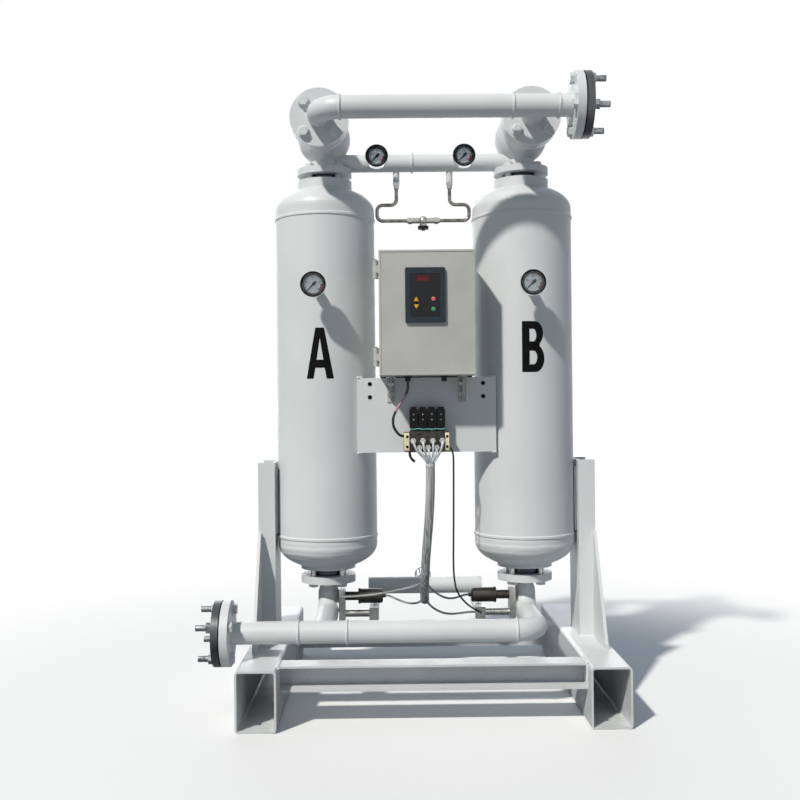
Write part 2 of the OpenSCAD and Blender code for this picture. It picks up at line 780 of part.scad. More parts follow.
// Main pipe with a drop branch to each valve and a stub for the silencer
module exhaust_solid(wall) {
    grow = wall > 0 ? eps : 0;
    branch_x = elbow_block_x + elbow_block / 2;
    branch_start = branch_y + 17;
    translate([0, exhaust_back, exhaust_z])
        bar_x(riser_r - wall, -exhaust_half + wall, exhaust_half - wall);
    for (side = [-1, 1]) translate([side * branch_x, 0, outlet_tube_z]) {
        bar_y(branch_pipe_r - wall, branch_start - grow, exhaust_back);
        translate([0, exhaust_back, 0]) sphere(branch_pipe_r - wall);
        translate([0, exhaust_back, 0])
            cylinder(r = branch_pipe_r - wall, h = exhaust_z - outlet_tube_z);
    }
    translate([0, 0, exhaust_z])
        bar_y(stub_r - wall, exhaust_back, exhaust_back + riser_r + stub_len + grow);
}

module exhaust_manifold() {
    color(PAINT) difference() {
        exhaust_solid(0);
        exhaust_solid(pipe_wall);
    }
}

module silencer() {
    start = exhaust_back + riser_r + stub_len;
    cap = 12;
    wall = 3;
    slots = 12;
    color(STEEL) translate([0, 0, exhaust_z]) difference() {
        union() {
            translate([0, start, 0]) rotate([-90, 0, 0])
                cylinder(d = silencer_d, h = cap, $fn = 6);
            bar_y(silencer_d / 2 - 2, start + cap, start + silencer_len - cap);
            bar_y(silencer_d / 2, start + silencer_len - cap, start + silencer_len);
        }
        bar_y(stub_r - pipe_wall, start - eps, start + cap + eps);
        bar_y(silencer_d / 2 - 2 - wall, start + cap, start + silencer_len - cap);
        for (k = [0:slots - 1]) rotate([0, 360 * k / slots, 0])
            translate([0, start + cap + 8, -2])
                cube([silencer_d, silencer_len - 2 * cap - 16, 4]);
    }
}

// Outlet valves and header

module outlet_valve(side) {
    flange_back = cover_y + 2 * cover_t + gasket_t;
    seat_y = -60;
    bore = bore_r + 0.5;
    seat_r = 20;
    difference() {
        union() {
            translate([0, 0, high_flange_top])
                pipe_flange(nozzle_od, nozzle_pcd, high_flange_t, 45);
            translate([0, 0, high_flange_z])
                cylinder(r = neck_r, h = cover_z - belly_r - high_flange_z + 14);
            translate([0, 0, cover_z]) sphere(belly_r);
            translate([0, 0, cover_z]) bar_y(barrel_r, 0, flange_back);
            translate([0, 0, cover_z]) bar_y(nozzle_od / 2, flange_back, flange_back - cover_t);
            translate([0, 0, purge_z]) bar_x(riser_r, 0, -side * purge_stub);
        }
        translate([0, 0, high_flange_z - eps])
            cylinder(r = bore, h = cover_z - high_flange_z + bore);
        translate([0, 0, cover_z]) {
            bar_y(seat_r, 0, seat_y - eps);
            bar_y(chamber_r, seat_y, flange_back - cover_t - eps);
        }
        translate([0, 0, purge_z]) bar_x(riser_in, 0, -side * (purge_stub + eps));
        translate([0, flange_back - cover_t, cover_z]) rotate([-90, 0, 0])
            translate([0, 0, -eps]) bolt_circle(nozzle_pcd)
                cylinder(r = bolt_r + tap_clear, h = cover_tap + eps);
    }
}

cover_tap = 20;
module outlet_valve_bodies() {
    color(PAINT) for (side = [-1, 1]) translate([side * tower_x, 0, 0]) outlet_valve(side);
}

// Winged check disc, resting on its seat and lifting to the front
module check_disc() {
    seat_y = -60;
    disc_t = 6;
    wing_len = 40;
    translate([0, seat_y - slip, cover_z]) {
        bar_y(30, 0, -disc_t);
        for (k = [0:2]) rotate([0, 120 * k, 0])
            translate([0, -disc_t - wing_len, -2]) cube([chamber_r - slip, wing_len + 1, 4]);
    }
}

module check_disc_a() { color(STEEL) translate([-tower_x, 0, 0]) check_disc(); }
module check_disc_b() { color(STEEL) translate([tower_x, 0, 0]) check_disc(); }

module cover_bolts() {
    color(PAINT) at_towers() translate([0, cover_y, cover_z]) rotate([-90, 0, 0])
        bolt_circle(nozzle_pcd) hex_bolt(cover_t + gasket_t + cover_tap - 2);
}

module outlet_solid(wall) {
    grow = wall > 0 ? eps : 0;
    r = pipe_r - wall;
    lead = outlet_front - outlet_bend;
    translate([-tower_x, 0, cover_z])
        bar_y(r, cover_y + cover_t + grow, cover_y - lead);
    translate([-tower_x + outlet_bend, cover_y - lead, cover_z]) rotate(180)
        bend(outlet_bend, r);
    translate([0, outlet_y, cover_z])
        bar_x(r, -tower_x + outlet_bend, outlet_port_x + port_t + grow);
    translate([tower_x, 0, cover_z]) bar_y(r, cover_y + cover_t + grow, outlet_y);
}

module outlet_manifold() {
    tee_half = 59;
    collar = 34;
    color(PAINT) difference() {
        union() {
            outlet_solid(0);
            at_towers() translate([0, cover_y, cover_z]) rotate([90, 0, 0])
                pipe_flange(nozzle_od, nozzle_pcd, cover_t, 45);
            at_outlet_port(port_t) pipe_flange(port_od, port_pcd, port_t, outlet_turn);
            for (x = [-tower_x + outlet_bend, tower_x - tee_half, outlet_port_x - collar])
                translate([x, outlet_y, cover_z]) pipe_bead_x(pipe_r);
        }
        outlet_solid(pipe_wall);
    }
}

// Purge line

tap_r = 9;
tap_len = 30;
module purge_pipe() {
    bead_x = -30;
    color(PAINT) translate([0, 0, purge_z]) difference() {
        union() {
            bar_x(riser_r, -purge_end, purge_end);
            translate([bead_x, 0, 0]) pipe_bead_x(riser_r);
            for (x = [-purge_tap_x, purge_tap_x])
                translate([x, 0, -riser_r - tap_len]) cylinder(r = tap_r, h = tap_len + 6);
            for (x = [-purge_gauge_left, purge_gauge_right])
                translate([x, 0, 0]) bar_y(socket_r, -riser_in, -riser_r - 16);
        }
        bar_x(riser_in, -purge_end - eps, purge_end + eps);
        for (x = [-purge_tap_x, purge_tap_x])
            translate([x, 0, -riser_r - tap_len - eps]) cylinder(r = 4, h = tap_len + 12);
        for (x = [-purge_gauge_left, purge_gauge_right])
            translate([x, 0, 0]) bar_y(stem_r + tap_clear, 0, -riser_r - 16 - eps);
    }
}

needle_z = purge_z - needle_drop;
nut_len = 18;
union_len = 14;
needle_half = 32;
purge_jog = 54;
purge_shelf = 44;
purge_bend = 16;
// One bent tube from its fitting out, down and back in to the needle valve
module purge_tube() {
    r = purge_tube_d / 2;
    top = purge_z - riser_r - tap_len - nut_len;
    shelf = needle_z + purge_shelf;
    out = purge_tap_x + purge_jog;
    translate([purge_tap_x, 0, shelf + purge_bend]) cylinder(r = r, h = top - shelf - purge_bend);
    translate([purge_tap_x + purge_bend, 0, shelf + purge_bend]) rotate([-90, 0, 0])
        rotate(90) bend(purge_bend, r);
    translate([0, 0, shelf]) bar_x(r, purge_tap_x + purge_bend, out - purge_bend);
    translate([out - purge_bend, 0, shelf - purge_bend]) rotate([90, 0, 0]) bend(purge_bend, r);
    translate([out, 0, needle_z + purge_bend])
        cylinder(r = r, h = shelf - needle_z - 2 * purge_bend);
    translate([out - purge_bend, 0, needle_z + purge_bend]) rotate([-90, 0, 0])
        bend(purge_bend, r);
    translate([0, 0, needle_z]) bar_x(r, needle_half + union_len, out - purge_bend);
}

module purge_tubes() {
    color(STEEL) for (turn = [0, 1]) mirror([turn, 0, 0]) purge_tube();
}

module purge_fittings() {
    r = purge_tube_d / 2;
    color(STEEL) for (turn = [0, 1]) mirror([turn, 0, 0]) {
        translate([purge_tap_x, 0, purge_z - riser_r - tap_len - nut_len]) {
            cylinder(r = r + 2.5, h = nut_len / 2);
            translate([0, 0, nut_len / 2]) cylinder(r = r + 4, h = nut_len / 2, $fn = 6);
        }
        translate([needle_half, 0, needle_z]) rotate([0, 90, 0]) {
            cylinder(r = r + 4.5, h = union_len * 0.7, $fn = 6);
            cylinder(r = r + 2, h = union_len);
        }
    }
}

spindle_r = 4;
knob_drop = 15;
module needle_valve_body() {
    color(STEEL) translate([0, 0, needle_z]) difference() {
        union() {
            bar_x(8, -needle_half, needle_half);
            sphere(13);
            translate([0, 0, -knob_drop]) cylinder(r = 10, h = knob_drop, $fn = 6);
        }
        bar_x(3, -needle_half - eps, needle_half + eps);
        translate([0, 0, -knob_drop - eps]) cylinder(r = spindle_r + run, h = knob_drop + eps);
    }
}

module needle_valve_knob() {
    knob_h = 9;
    flutes = 12;
    color(BLACK) translate([0, 0, needle_z - knob_drop - slip]) {
        difference() {
            translate([0, 0, -knob_h]) cylinder(d = knob_d, h = knob_h);
            for (k = [0:flutes - 1]) rotate(360 * k / flutes)
                translate([knob_d / 2 + 1, 0, -knob_h - eps]) cylinder(r = 2.5, h = knob_h + 2 * eps);
        }
        cylinder(r = spindle_r, h = knob_drop - 4);
        translate([0, 0, -knob_h - 3]) cylinder(r = 5, h = 3);
    }
}

// Gauges

GAUGES = [[-tower_x - gauge_a_side, -tower_r - gauge_seat - 26, gauge_z, tower_gauge_d],
    [tower_x, -tower_r - gauge_seat - 26, gauge_z, tower_gauge_d],
    [-purge_gauge_left, -riser_r - 36, purge_z, purge_gauge_d],
    [purge_gauge_right, -riser_r - 36, purge_z, purge_gauge_d]];
lens_set = 2;
lens_t = 2;
dial_set = 9;
dial_t = 1.5;
pointer_spindle_r = 1.5;

// Children at a gauge, with -Y to its face and Y = 0 at the back of its case
module at_gauge(i) {
    translate([GAUGES[i][0], GAUGES[i][1], GAUGES[i][2]]) children();
}

module gauge_cases() {
    color(BLACK) for (i = [0:3]) at_gauge(i) {
        r = GAUGES[i][3] / 2;
        difference() {
            union() {
                bar_y(r, -gauge_depth, -gauge_depth + 8);
                bar_y(r - 2, -gauge_depth, 0);
                bar_y(stem_r, -3, stem_len);
                translate([0, 6, 0]) rotate([-90, 0, 0]) cylinder(r = stem_r + 2, h = 10, $fn = 6);
            }
            bar_y(r - 2 - gauge_wall, -gauge_depth - eps, -gauge_wall);
            bar_y(2.5, -gauge_wall - eps, stem_len + eps);
        }
    }
}

module gauge_dials() {
    post_r = 4;
    color("white") for (i = [0:3]) at_gauge(i) difference() {
        union() {
            bar_y(GAUGES[i][3] / 2 - 2 - gauge_wall - slip,
                -gauge_depth + dial_set, -gauge_depth + dial_set + dial_t);
            bar_y(post_r, -gauge_depth + dial_set, -gauge_wall);
        }
        bar_y(pointer_spindle_r + run, -gauge_depth + dial_set - eps, -gauge_wall + eps);
    }
}

module gauge_lenses() {
    color([0.9, 0.95, 1, 0.4]) for (i = [0:3]) at_gauge(i)
        bar_y(GAUGES[i][3] / 2 - 2 - gauge_wall - slip,
            -gauge_depth + lens_set, -gauge_depth + lens_set + lens_t);
}

// Pointer at its zero stop, to the lower left, on a spindle through the dial
module gauge_needle(i) {
    reach = 0.36 * GAUGES[i][3];
    blade_t = 0.8;
    zero = 135;
    color(BLACK) at_gauge(i) translate([0, -gauge_depth + dial_set - 1.5, 0]) {
        bar_y(3.5, -blade_t - 0.4, 0.2);
        bar_y(pointer_spindle_r, 0, dial_set);
        rotate([0, -zero, 0]) translate([0, -blade_t / 2, 0]) rotate([90, 0, 0])
            linear_extrude(blade_t, center = true)
                polygon([[-3.2, -0.28 * reach], [3.2, -0.28 * reach], [2.2, 0], [0.6, reach],
                    [-0.6, reach], [-2.2, 0]]);
    }
}

module gauge_needle_a() { gauge_needle(0); }
module gauge_needle_b() { gauge_needle(1); }
module gauge_needle_left() { gauge_needle(2); }
module gauge_needle_right() { gauge_needle(3); }

// Control cabinet

knuckle_r = 6;
pin_r = 3;
knuckle_half = 9;
knuckle_len = 15;
lip = 18;
GLANDS = [[-50, -160], [45, -160]];
gland_r = 6;

// Knuckle with its web to the cabinet's side, from z0 to z1
module knuckle(z0, z1, web_y0, web_y1) {
    difference() {
        union() {
            translate([hinge_x, hinge_y, z0]) cylinder(r = knuckle_r, h = z1 - z0);
            translate([hinge_x, web_y0, z0]) cube([hinge_out, web_y1 - web_y0, z1 - z0]);
        }
        translate([hinge_x, hinge_y, z0 - eps]) cylinder(r = pin_r + run, h = z1 - z0 + 2 * eps);
    }
}

module cabinet_body() {
    half = cab_w / 2;
    color(GREY) union() {
        difference() {
            translate([-half, body_y, cab_z]) cube([cab_w, cab_d, cab_h]);
            translate([-half + sheet_t, body_y + sheet_t, cab_z + sheet_t])
                cube([cab_w - 2 * sheet_t, cab_d - 2 * sheet_t, cab_h - 2 * sheet_t]);
            translate([-half + lip, body_y - eps, cab_z + lip])
                cube([cab_w - 2 * lip, sheet_t + 2 * eps, cab_h - 2 * lip]);
            for (g = GLANDS) translate([g[0], g[1], cab_z - eps])
                cylinder(r = gland_r + slip, h = sheet_t + 2 * eps);
        }
        for (s = [-1, 1]) {
            mid = cab_mid + s * hinge_up;
            knuckle(mid + knuckle_half + slip, mid + knuckle_half + knuckle_len,
                body_y, body_y + knuckle_r - slip);
            knuckle(mid - knuckle_half - knuckle_len, mid - knuckle_half - slip,
                body_y, body_y + knuckle_r - slip);
        }
    }
}

ctrl_x = -5;
ctrl_z = cab_mid + ctrl_up;
ctrl_fit = 0.4;
ctrl_rim = 6;
module cabinet_door() {
    half = cab_w / 2;
    color(GREY) union() {
        difference() {
            translate([-half, door_y, cab_z]) cube([cab_w, door_d, cab_h]);
            translate([-half + sheet_t, door_y + sheet_t, cab_z + sheet_t])
                cube([cab_w - 2 * sheet_t, door_d, cab_h - 2 * sheet_t]);
            translate([ctrl_x - ctrl_w / 2 + ctrl_rim, door_y - eps, ctrl_z - ctrl_h / 2 + ctrl_rim])
                cube([ctrl_w - 2 * ctrl_rim, sheet_t + 2 * eps, ctrl_h - 2 * ctrl_rim]);
        }
        for (s = [-1, 1]) {
            mid = cab_mid + s * hinge_up;
            knuckle(mid - knuckle_half, mid + knuckle_half,
                door_y + door_d - knuckle_r, door_y + door_d);
        }
    }
}

module door_gasket() {
    half = cab_w / 2;
    edge = 6;
    band = 10;
    color(BLACK) difference() {
        translate([-half + edge, door_y + sheet_t, cab_z + edge])
            cube([cab_w - 2 * edge, door_d - sheet_t, cab_h - 2 * edge]);
        translate([-half + edge + band, door_y, cab_z + edge + band])
            cube([cab_w - 2 * edge - 2 * band, door_d + eps, cab_h - 2 * edge - 2 * band]);
    }
}

module hinge_pins() {
    color(BLACK) for (s = [-1, 1])
        translate([hinge_x, hinge_y, cab_mid + s * hinge_up - knuckle_half - knuckle_len]) {
            cylinder(r = pin_r, h = 2 * (knuckle_half + knuckle_len));
            translate([0, 0, 2 * (knuckle_half + knuckle_len)]) cylinder(r = 4.5, h = 2);
        }
}

bezel_t = 8;
module controller() {
    depth = 55;
    w = ctrl_w - 2 * ctrl_rim - 2 * ctrl_fit;
    h = ctrl_h - 2 * ctrl_rim - 2 * ctrl_fit;
    recess = 1.5;
    color(BLACK) difference() {
        union() {
            translate([ctrl_x, door_y, ctrl_z]) rotate([90, 0, 0])
                linear_extrude(bezel_t) rounded_rect(ctrl_w, ctrl_h, 4);
            translate([ctrl_x - w / 2, door_y - eps, ctrl_z - h / 2]) cube([w, depth + eps, h]);
        }
        translate([ctrl_x - 0.37 * ctrl_w, door_y - bezel_t - eps, ctrl_z - 0.39 * ctrl_h])
            cube([0.74 * ctrl_w, recess + eps, 0.78 * ctrl_h]);
    }
}

// Two arrow keys on the left, two round keys on the right
module controller_keys() {
    face_y = door_y - bezel_t + 1.5;
    key_t = 1.2;
    arrow = 8;
    arrow_x = -23;
    arrow_z = -20;
    round_x = 20.6;
    round_r = 5;
    start_z = -10;
    stop_z = -36;
    translate([ctrl_x, face_y, ctrl_z]) rotate([90, 0, 0]) linear_extrude(key_t) {
        color("gold") for (s = [-1, 1]) translate([arrow_x, arrow_z + s * 10])
            polygon([[-6, -s * arrow / 2], [6, -s * arrow / 2], [0, s * arrow / 2]]);
        color("crimson") translate([round_x, start_z]) circle(round_r);
        color("seagreen") translate([round_x, stop_z]) circle(round_r);
    }
}

plate_gap = 6;
module back_plate() {
    margin = 20;
    post_r = 5;
    back = cab_back_y - sheet_t;
    color(ZINC) {
        translate([-cab_w / 2 + margin, back - plate_gap - 2, cab_z + margin])
            cube([cab_w - 2 * margin, 2, cab_h - 2 * margin]);
        for (sx = [-1, 1], sz = [-1, 1])
            translate([sx * (cab_w / 2 - margin - 12), 0, cab_mid + sz * (cab_h / 2 - margin - 12)])
                bar_y(post_r, back - plate_gap - 1, back);
    }
}

module terminal_strip() {
    plate_y = cab_back_y - sheet_t - plate_gap - 2;
    ways = 12;
    pitch = 12;
    strip_d = 34;
    strip_h = 44;
    strip_rise = 50;
    groove = 8;
    color([0.55, 0.60, 0.55]) translate([-ways * pitch / 2, plate_y - strip_d, cab_z + strip_rise])
        difference() {
            cube([ways * pitch, strip_d, strip_h]);
            for (k = [1:ways - 1]) translate([k * pitch - 0.5, -eps, -eps])
                cube([1, groove, strip_h + 2 * eps]);
        }
}

module cable_glands() {
    collar = 4;
    body = 14;
    color(BLACK) for (g = GLANDS) translate([g[0], g[1], cab_z]) difference() {
        union() {
            translate([0, 0, -collar]) cylinder(r = gland_r + 4, h = collar, $fn = 6);
            translate([0, 0, -body]) cylinder(r = gland_r + 1, h = body - collar);
            translate([0, 0, -collar]) cylinder(r = gland_r, h = collar + sheet_t + 3);
        }
        translate([0, 0, -body - eps]) cylinder(r = CABLE_D / 2 + slip, h = body + sheet_t + 6);
    }
}

// Folded panel between the towers, its side flanges trimmed to the shells
module mounting_panel() {
    fold = 24;
    hole_d = 10;
    hole_x = 151;
    hole_drop = 16;
    hole_gap = 35;
    color(PAINT) difference() {
        union() {
            translate([-panel_half, panel_y, panel_z]) cube([2 * panel_half, panel_t, panel_h]);
            for (x = [-panel_half, panel_half - panel_t])
                translate([x, panel_y, panel_z]) cube([panel_t, fold, panel_h]);
            for (z = [panel_z, panel_top - panel_t])
                translate([-panel_half, panel_y, z]) cube([2 * panel_half, fold, panel_t]);
        }
        at_towers() cylinder(r = tower_r, h = weld_high);
        for (x = [-hole_x, hole_x], drop = [hole_drop, hole_drop + hole_gap])
            translate([x, 0, panel_top - drop]) bar_y(hole_d / 2, panel_y - eps, panel_y + panel_t + eps);
    }
}

bracket_x = 95;
module cabinet_brackets() {
    width = 20;
    leg = 65;
    reach = door_front - door_d - panel_front - 8;
    color(GREY) for (side = [-1, 1]) translate([side * bracket_x - width / 2, 0, 0]) {
        translate([0, panel_y - panel_t, panel_top - leg]) cube([width, panel_t, leg + panel_t]);
        translate([0, panel_y - reach, panel_top]) cube([width, reach + 20, panel_t]);
        translate([width / 2 + panel_t / 2, panel_y - panel_t, panel_top]) rotate([0, -90, 0])
            linear_extrude(panel_t)
                polygon([[0, 0], [-leg + 6, 0], [-leg + 6, -8], [-10, -reach + 8], [0, -reach + 8]]);
    }
}

// Pilot valves on the panel

manifold_h = 55;
manifold_d = 46;
manifold_z = panel_z + 2;
manifold_top = manifold_z + manifold_h;
manifold_x = -2;
module valve_manifold() {
    end_w = 14;
    color(STEEL) translate([manifold_x - manifold_w / 2, panel_y - manifold_d, manifold_z])
        difference() {
            union() {
                translate([end_w, 0, 0]) cube([manifold_w - 2 * end_w, manifold_d, manifold_h]);
                for (x = [0, manifold_w - end_w])
                    translate([x, 4, 3]) cube([end_w, manifold_d - 4, manifold_h - 6]);
            }
            for (x = [end_w / 2, manifold_w - end_w / 2], z = [14, 41])
                translate([x, 0, z]) bar_y(3, -eps, 12);
        }
}

module at_coils() {
    for (k = [-1.5:1:1.5]) translate([manifold_x + 2 + k * coil_pitch, 0, 0]) children();
}

coil_h = 66;
module solenoid_coils() {
    w = 21;
    d = 34;
    color(BLACK) at_coils() translate([0, panel_y - manifold_d + 4, manifold_top]) {
        translate([-8, 3, 0]) cube([16, d - 6, 10]);
        translate([-w / 2, 0, 8]) cube([w, d, coil_h - 16]);
        translate([-w / 2 + 3, 0, coil_h - 9]) cube([w - 6, d - 8, 7]);
        for (z = [30, 44]) translate([0, 0, z]) bar_y(2.6, -2, 1);
    }
}

// Place and rise of each tube fitting: two staggered rows
FITTINGS = [[-38, 30], [-13, 30], [13, 30], [38, 30], [-21.5, 12], [1, 12], [23, 12]];
module tube_fittings() {
    face = panel_y - manifold_d;
    color(ZINC) for (f = FITTINGS) translate([f[0], 0, manifold_z + f[1]]) difference() {
        union() {
            translate([0, face, 0]) rotate([90, 0, 0]) cylinder(r = 8, h = 7, $fn = 6);
            bar_y(6, face - 7, face - 20);
        }
        bar_y(TUBE_D / 2 + slip, face - 10, face - 20 - eps);
    }
}

// Tubes and cables

module tube_bundle() { color(CLEAR_TUBE) swept_tube(BUNDLE, BUNDLE_D, 10); }
module coil_tubes() { color(CLEAR_TUBE) for (p = COIL_TUBES) swept_tube(p, TUBE_D); }
module pilot_tubes() { color(CLEAR_TUBE) for (p = PILOT_TUBES) swept_tube(p, TUBE_D); }
module coil_cable() { color(BLACK) swept_tube(COIL_CABLE, CABLE_D); }
module signal_cable() { color(BLACK) swept_tube(SIGNAL_CABLE, SIGNAL_D); }

left_skid_rail();
right_skid_rail();
front_crossmember();
rear_crossmember();
left_upright();
right_upright();
tower_a_vessel();
tower_b_vessel();
desiccant_beds();
support_screens();
strainers();
flange_gaskets();
bottom_flange_bolts();
top_flange_bolts();
inlet_manifold();
outlet_manifold();
inlet_counter_flange();
outlet_counter_flange();
port_studs();
exhaust_valve_bodies();
exhaust_actuators();
exhaust_plunger_a();
exhaust_plunger_b();
exhaust_manifold();
silencer();
outlet_valve_bodies();
check_disc_a();
check_disc_b();
cover_bolts();
purge_pipe();
purge_tubes();
purge_fittings();
needle_valve_body();
needle_valve_knob();
gauge_cases();
gauge_dials();
gauge_lenses();
gauge_needle_a();
gauge_needle_b();
gauge_needle_left();
gauge_needle_right();
cabinet_body();
cabinet_door();
door_gasket();
hinge_pins();
controller();
controller_keys();
back_plate();
terminal_strip();
cable_glands();
mounting_panel();
cabinet_brackets();
valve_manifold();
solenoid_coils();
tube_fittings();
tube_bundle();
coil_tubes();
pilot_tubes();
coil_cable();
signal_cable();
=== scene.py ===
"""Looks of a twin-tower desiccant air dryer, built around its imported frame.

Sizes in the fields are millimetres, and mm() turns them to metres. X is to the right, Y to the
back, Z up, and the floor is at Z = 0.
"""

import logging
import math
from dataclasses import dataclass, field
from enum import Enum
from functools import cached_property
from typing import Any, Callable, Sequence

import bpy
from mathutils import Matrix, Vector

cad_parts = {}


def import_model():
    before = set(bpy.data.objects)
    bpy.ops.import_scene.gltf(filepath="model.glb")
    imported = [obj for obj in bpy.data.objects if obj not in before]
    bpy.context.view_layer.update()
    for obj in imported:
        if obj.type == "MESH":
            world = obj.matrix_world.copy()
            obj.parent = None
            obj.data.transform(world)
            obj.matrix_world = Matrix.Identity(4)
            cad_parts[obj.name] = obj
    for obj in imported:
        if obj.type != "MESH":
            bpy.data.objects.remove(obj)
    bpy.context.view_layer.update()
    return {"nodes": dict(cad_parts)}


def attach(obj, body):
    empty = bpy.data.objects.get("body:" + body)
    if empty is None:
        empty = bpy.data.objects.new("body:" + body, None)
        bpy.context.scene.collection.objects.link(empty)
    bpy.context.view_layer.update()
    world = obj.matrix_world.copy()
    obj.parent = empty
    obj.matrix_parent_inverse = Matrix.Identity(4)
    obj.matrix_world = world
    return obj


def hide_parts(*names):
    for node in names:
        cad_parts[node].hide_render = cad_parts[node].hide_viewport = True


LOG = logging.getLogger("dryer")

Point = tuple[float, float, float]
Pair = tuple[float, float]
Span = tuple[float, float, float, float]
Outline = list[Pair]
Piece = bpy.types.Object
Node = bpy.types.Node
Socket = bpy.types.NodeSocket

QUARTER = math.radians(90.0)
FACING = 0.9
MERGED = 0.01
FIGURE_T = 0.12
NOISE_LOW, NOISE_HIGH = 0.3, 0.7
WHITE = (1.0, 1.0, 1.0, 1.0)
MIX_A, MIX_B, MIX_OUT = 6, 7, 2
SPAN = (1, 2, 3, 4)
WAVE_OUT = 1
WAVE_PERIOD = 0.314


class Body(Enum):
    """The rigid bodies that the pieces of this scene ride on."""

    FRAME = "frame"
    DOOR = "door"
    POINTER_A = "pointer_a"
    POINTER_B = "pointer_b"
    POINTER_LEFT = "pointer_left"
    POINTER_RIGHT = "pointer_right"


def mm(value: float) -> float:
    """Turns millimetres to metres."""
    return value / 1000.0


def mm_point(point: Sequence[float]) -> Vector:
    """Turns a point in millimetres to metres."""
    return Vector([mm(value) for value in point])


def linear(colour: str) -> Span:
    """Turns an sRGB hex colour to linear.

    Args:
        colour: Six hex digits with a leading hash sign.

    Returns:
        Red, green, blue and an alpha of one.
    """
    channels = [int(colour[i:i + 2], 16) / 255.0 for i in (1, 3, 5)]
    low = [c / 12.92 if c <= 0.04045 else ((c + 0.055) / 1.055) ** 2.4 for c in channels]
    return (low[0], low[1], low[2], 1.0)


@dataclass
class Canvas:
    """A node tree that is being filled, with its shader.

    MIX_A, MIX_B and MIX_OUT are the places of a colour mix's two inputs and its output, SPAN those of a
    range's four limits and WAVE_OUT that of a wave's value. A wave's period in metres is WAVE_PERIOD over
    its scale.
    """

    tree: bpy.types.NodeTree
    shader: Node

    @classmethod
    def of(cls, owner: bpy.types.Material | bpy.types.World, shader: str) -> "Canvas":
        """Switches an owner's nodes on.

        Args:
            owner: The material or the world.
            shader: The name of its shader.

        Returns:
            Its canvas.
        """
        owner.use_nodes = True
        return cls(owner.node_tree, owner.node_tree.nodes[shader])

    @cached_property
    def place(self) -> Socket:
        """The piece's own coordinates."""
        return self.add("TexCoord").outputs["Object"]

    def add(self, kind: str, values: dict | None = None, links: dict | None = None, **settings: Any) -> Node:
        """Adds a node with its settings and links.

        Args:
            kind: The node's type, after the words that all of them share.
            values: Input name or index to its value.
            links: Input name or index to the output that feeds it.
            **settings: The node's own properties.

        Returns:
            The new node.
        """
        made = self.tree.nodes.new(f"ShaderNode{kind}")
        for name, value in settings.items():
            setattr(made, name, value)
        for key, value in (values or {}).items():
            made.inputs[key].default_value = value
        self.feed(links or {}, made)
        return made

    def fix(self, values: dict[str, Any]) -> None:
        """Sets the shader's own inputs."""
        for key, value in values.items():
            self.shader.inputs[key].default_value = value

    def feed(self, links: dict, node: Node | None = None) -> None:
        """Links outputs to a node's inputs.

        Args:
            links: Input name or index to the output that feeds it.
            node: The node, or None for the shader.
        """
        for key, source in links.items():
            self.tree.links.new(source, (node or self.shader).inputs[key])

    def blend(self, source: Socket, span: Span, first: str, second: str) -> Socket:
        """Blends two colours by a pattern.

        Args:
            source: The pattern.
            span: Its low and high value, and the second colour's share at each.
            first: The first colour.
            second: The second colour.

        Returns:
            The blended colour.
        """
        share = self.add("MapRange", dict(zip(SPAN, span)), {0: source})
        made = self.add("Mix", {MIX_A: linear(first), MIX_B: linear(second)}, {0: share.outputs[0]},
                        data_type="RGBA")
        return made.outputs[MIX_OUT]

    def grain(self, source: Socket, span: Span, strength: float, depth: float) -> None:
        """Feeds the shader's roughness and relief from one pattern.

        Args:
            source: The pattern.
            span: Its low and high value, and the roughness at each.
            strength: How strongly the relief shows.
            depth: Its depth.
        """
        rough = self.add("MapRange", dict(zip(SPAN, span)), {0: source})
        bump = self.add("Bump", {"Strength": strength, "Distance": mm(depth)}, {"Height": source})
        self.feed({"Roughness": rough.outputs[0], "Normal": bump.outputs[0]})

    def stretch(self, axis: str, ends: Pair) -> Socket:
        """Marks a stretch of the piece.

        Args:
            axis: The axis that it runs along.
            ends: Where it starts and ends.

        Returns:
            One inside the stretch and nought outside.
        """
        along = self.add("SeparateXYZ", None, {0: self.place}).outputs[axis]
        over = self.add("Math", {1: mm(ends[0])}, {0: along}, operation="GREATER_THAN")
        under = self.add("Math", {1: mm(ends[1])}, {0: along}, operation="LESS_THAN")
        both = self.add("Math", None, {0: over.outputs[0], 1: under.outputs[0]}, operation="MULTIPLY")
        return both.outputs[0]


class Sheen(Enum):
    """How a plain moulded surface takes the light."""

    MATT = 0.55
    SATIN = 0.36
    GLOSS = 0.14


@dataclass(frozen=True)
class Finish:
    """A material made once and shared by the pieces that have it."""

    name: str
    colour: str

    def material(self) -> bpy.types.Material:
        """Makes the material the first time it is asked for.

        Returns:
            The material.
        """
        found = bpy.data.materials.get(self.name)
        if found:
            return found
        made = bpy.data.materials.new(self.name)
        canvas = Canvas.of(made, "Principled BSDF")
        canvas.fix({"Base Color": linear(self.colour)})
        made.diffuse_color = linear(self.colour)
        self.dress(canvas)
        return made

    def dress(self, canvas: Canvas) -> None:
        """Adds this finish's own nodes.

        Args:
            canvas: The material's nodes.
        """
        raise NotImplementedError


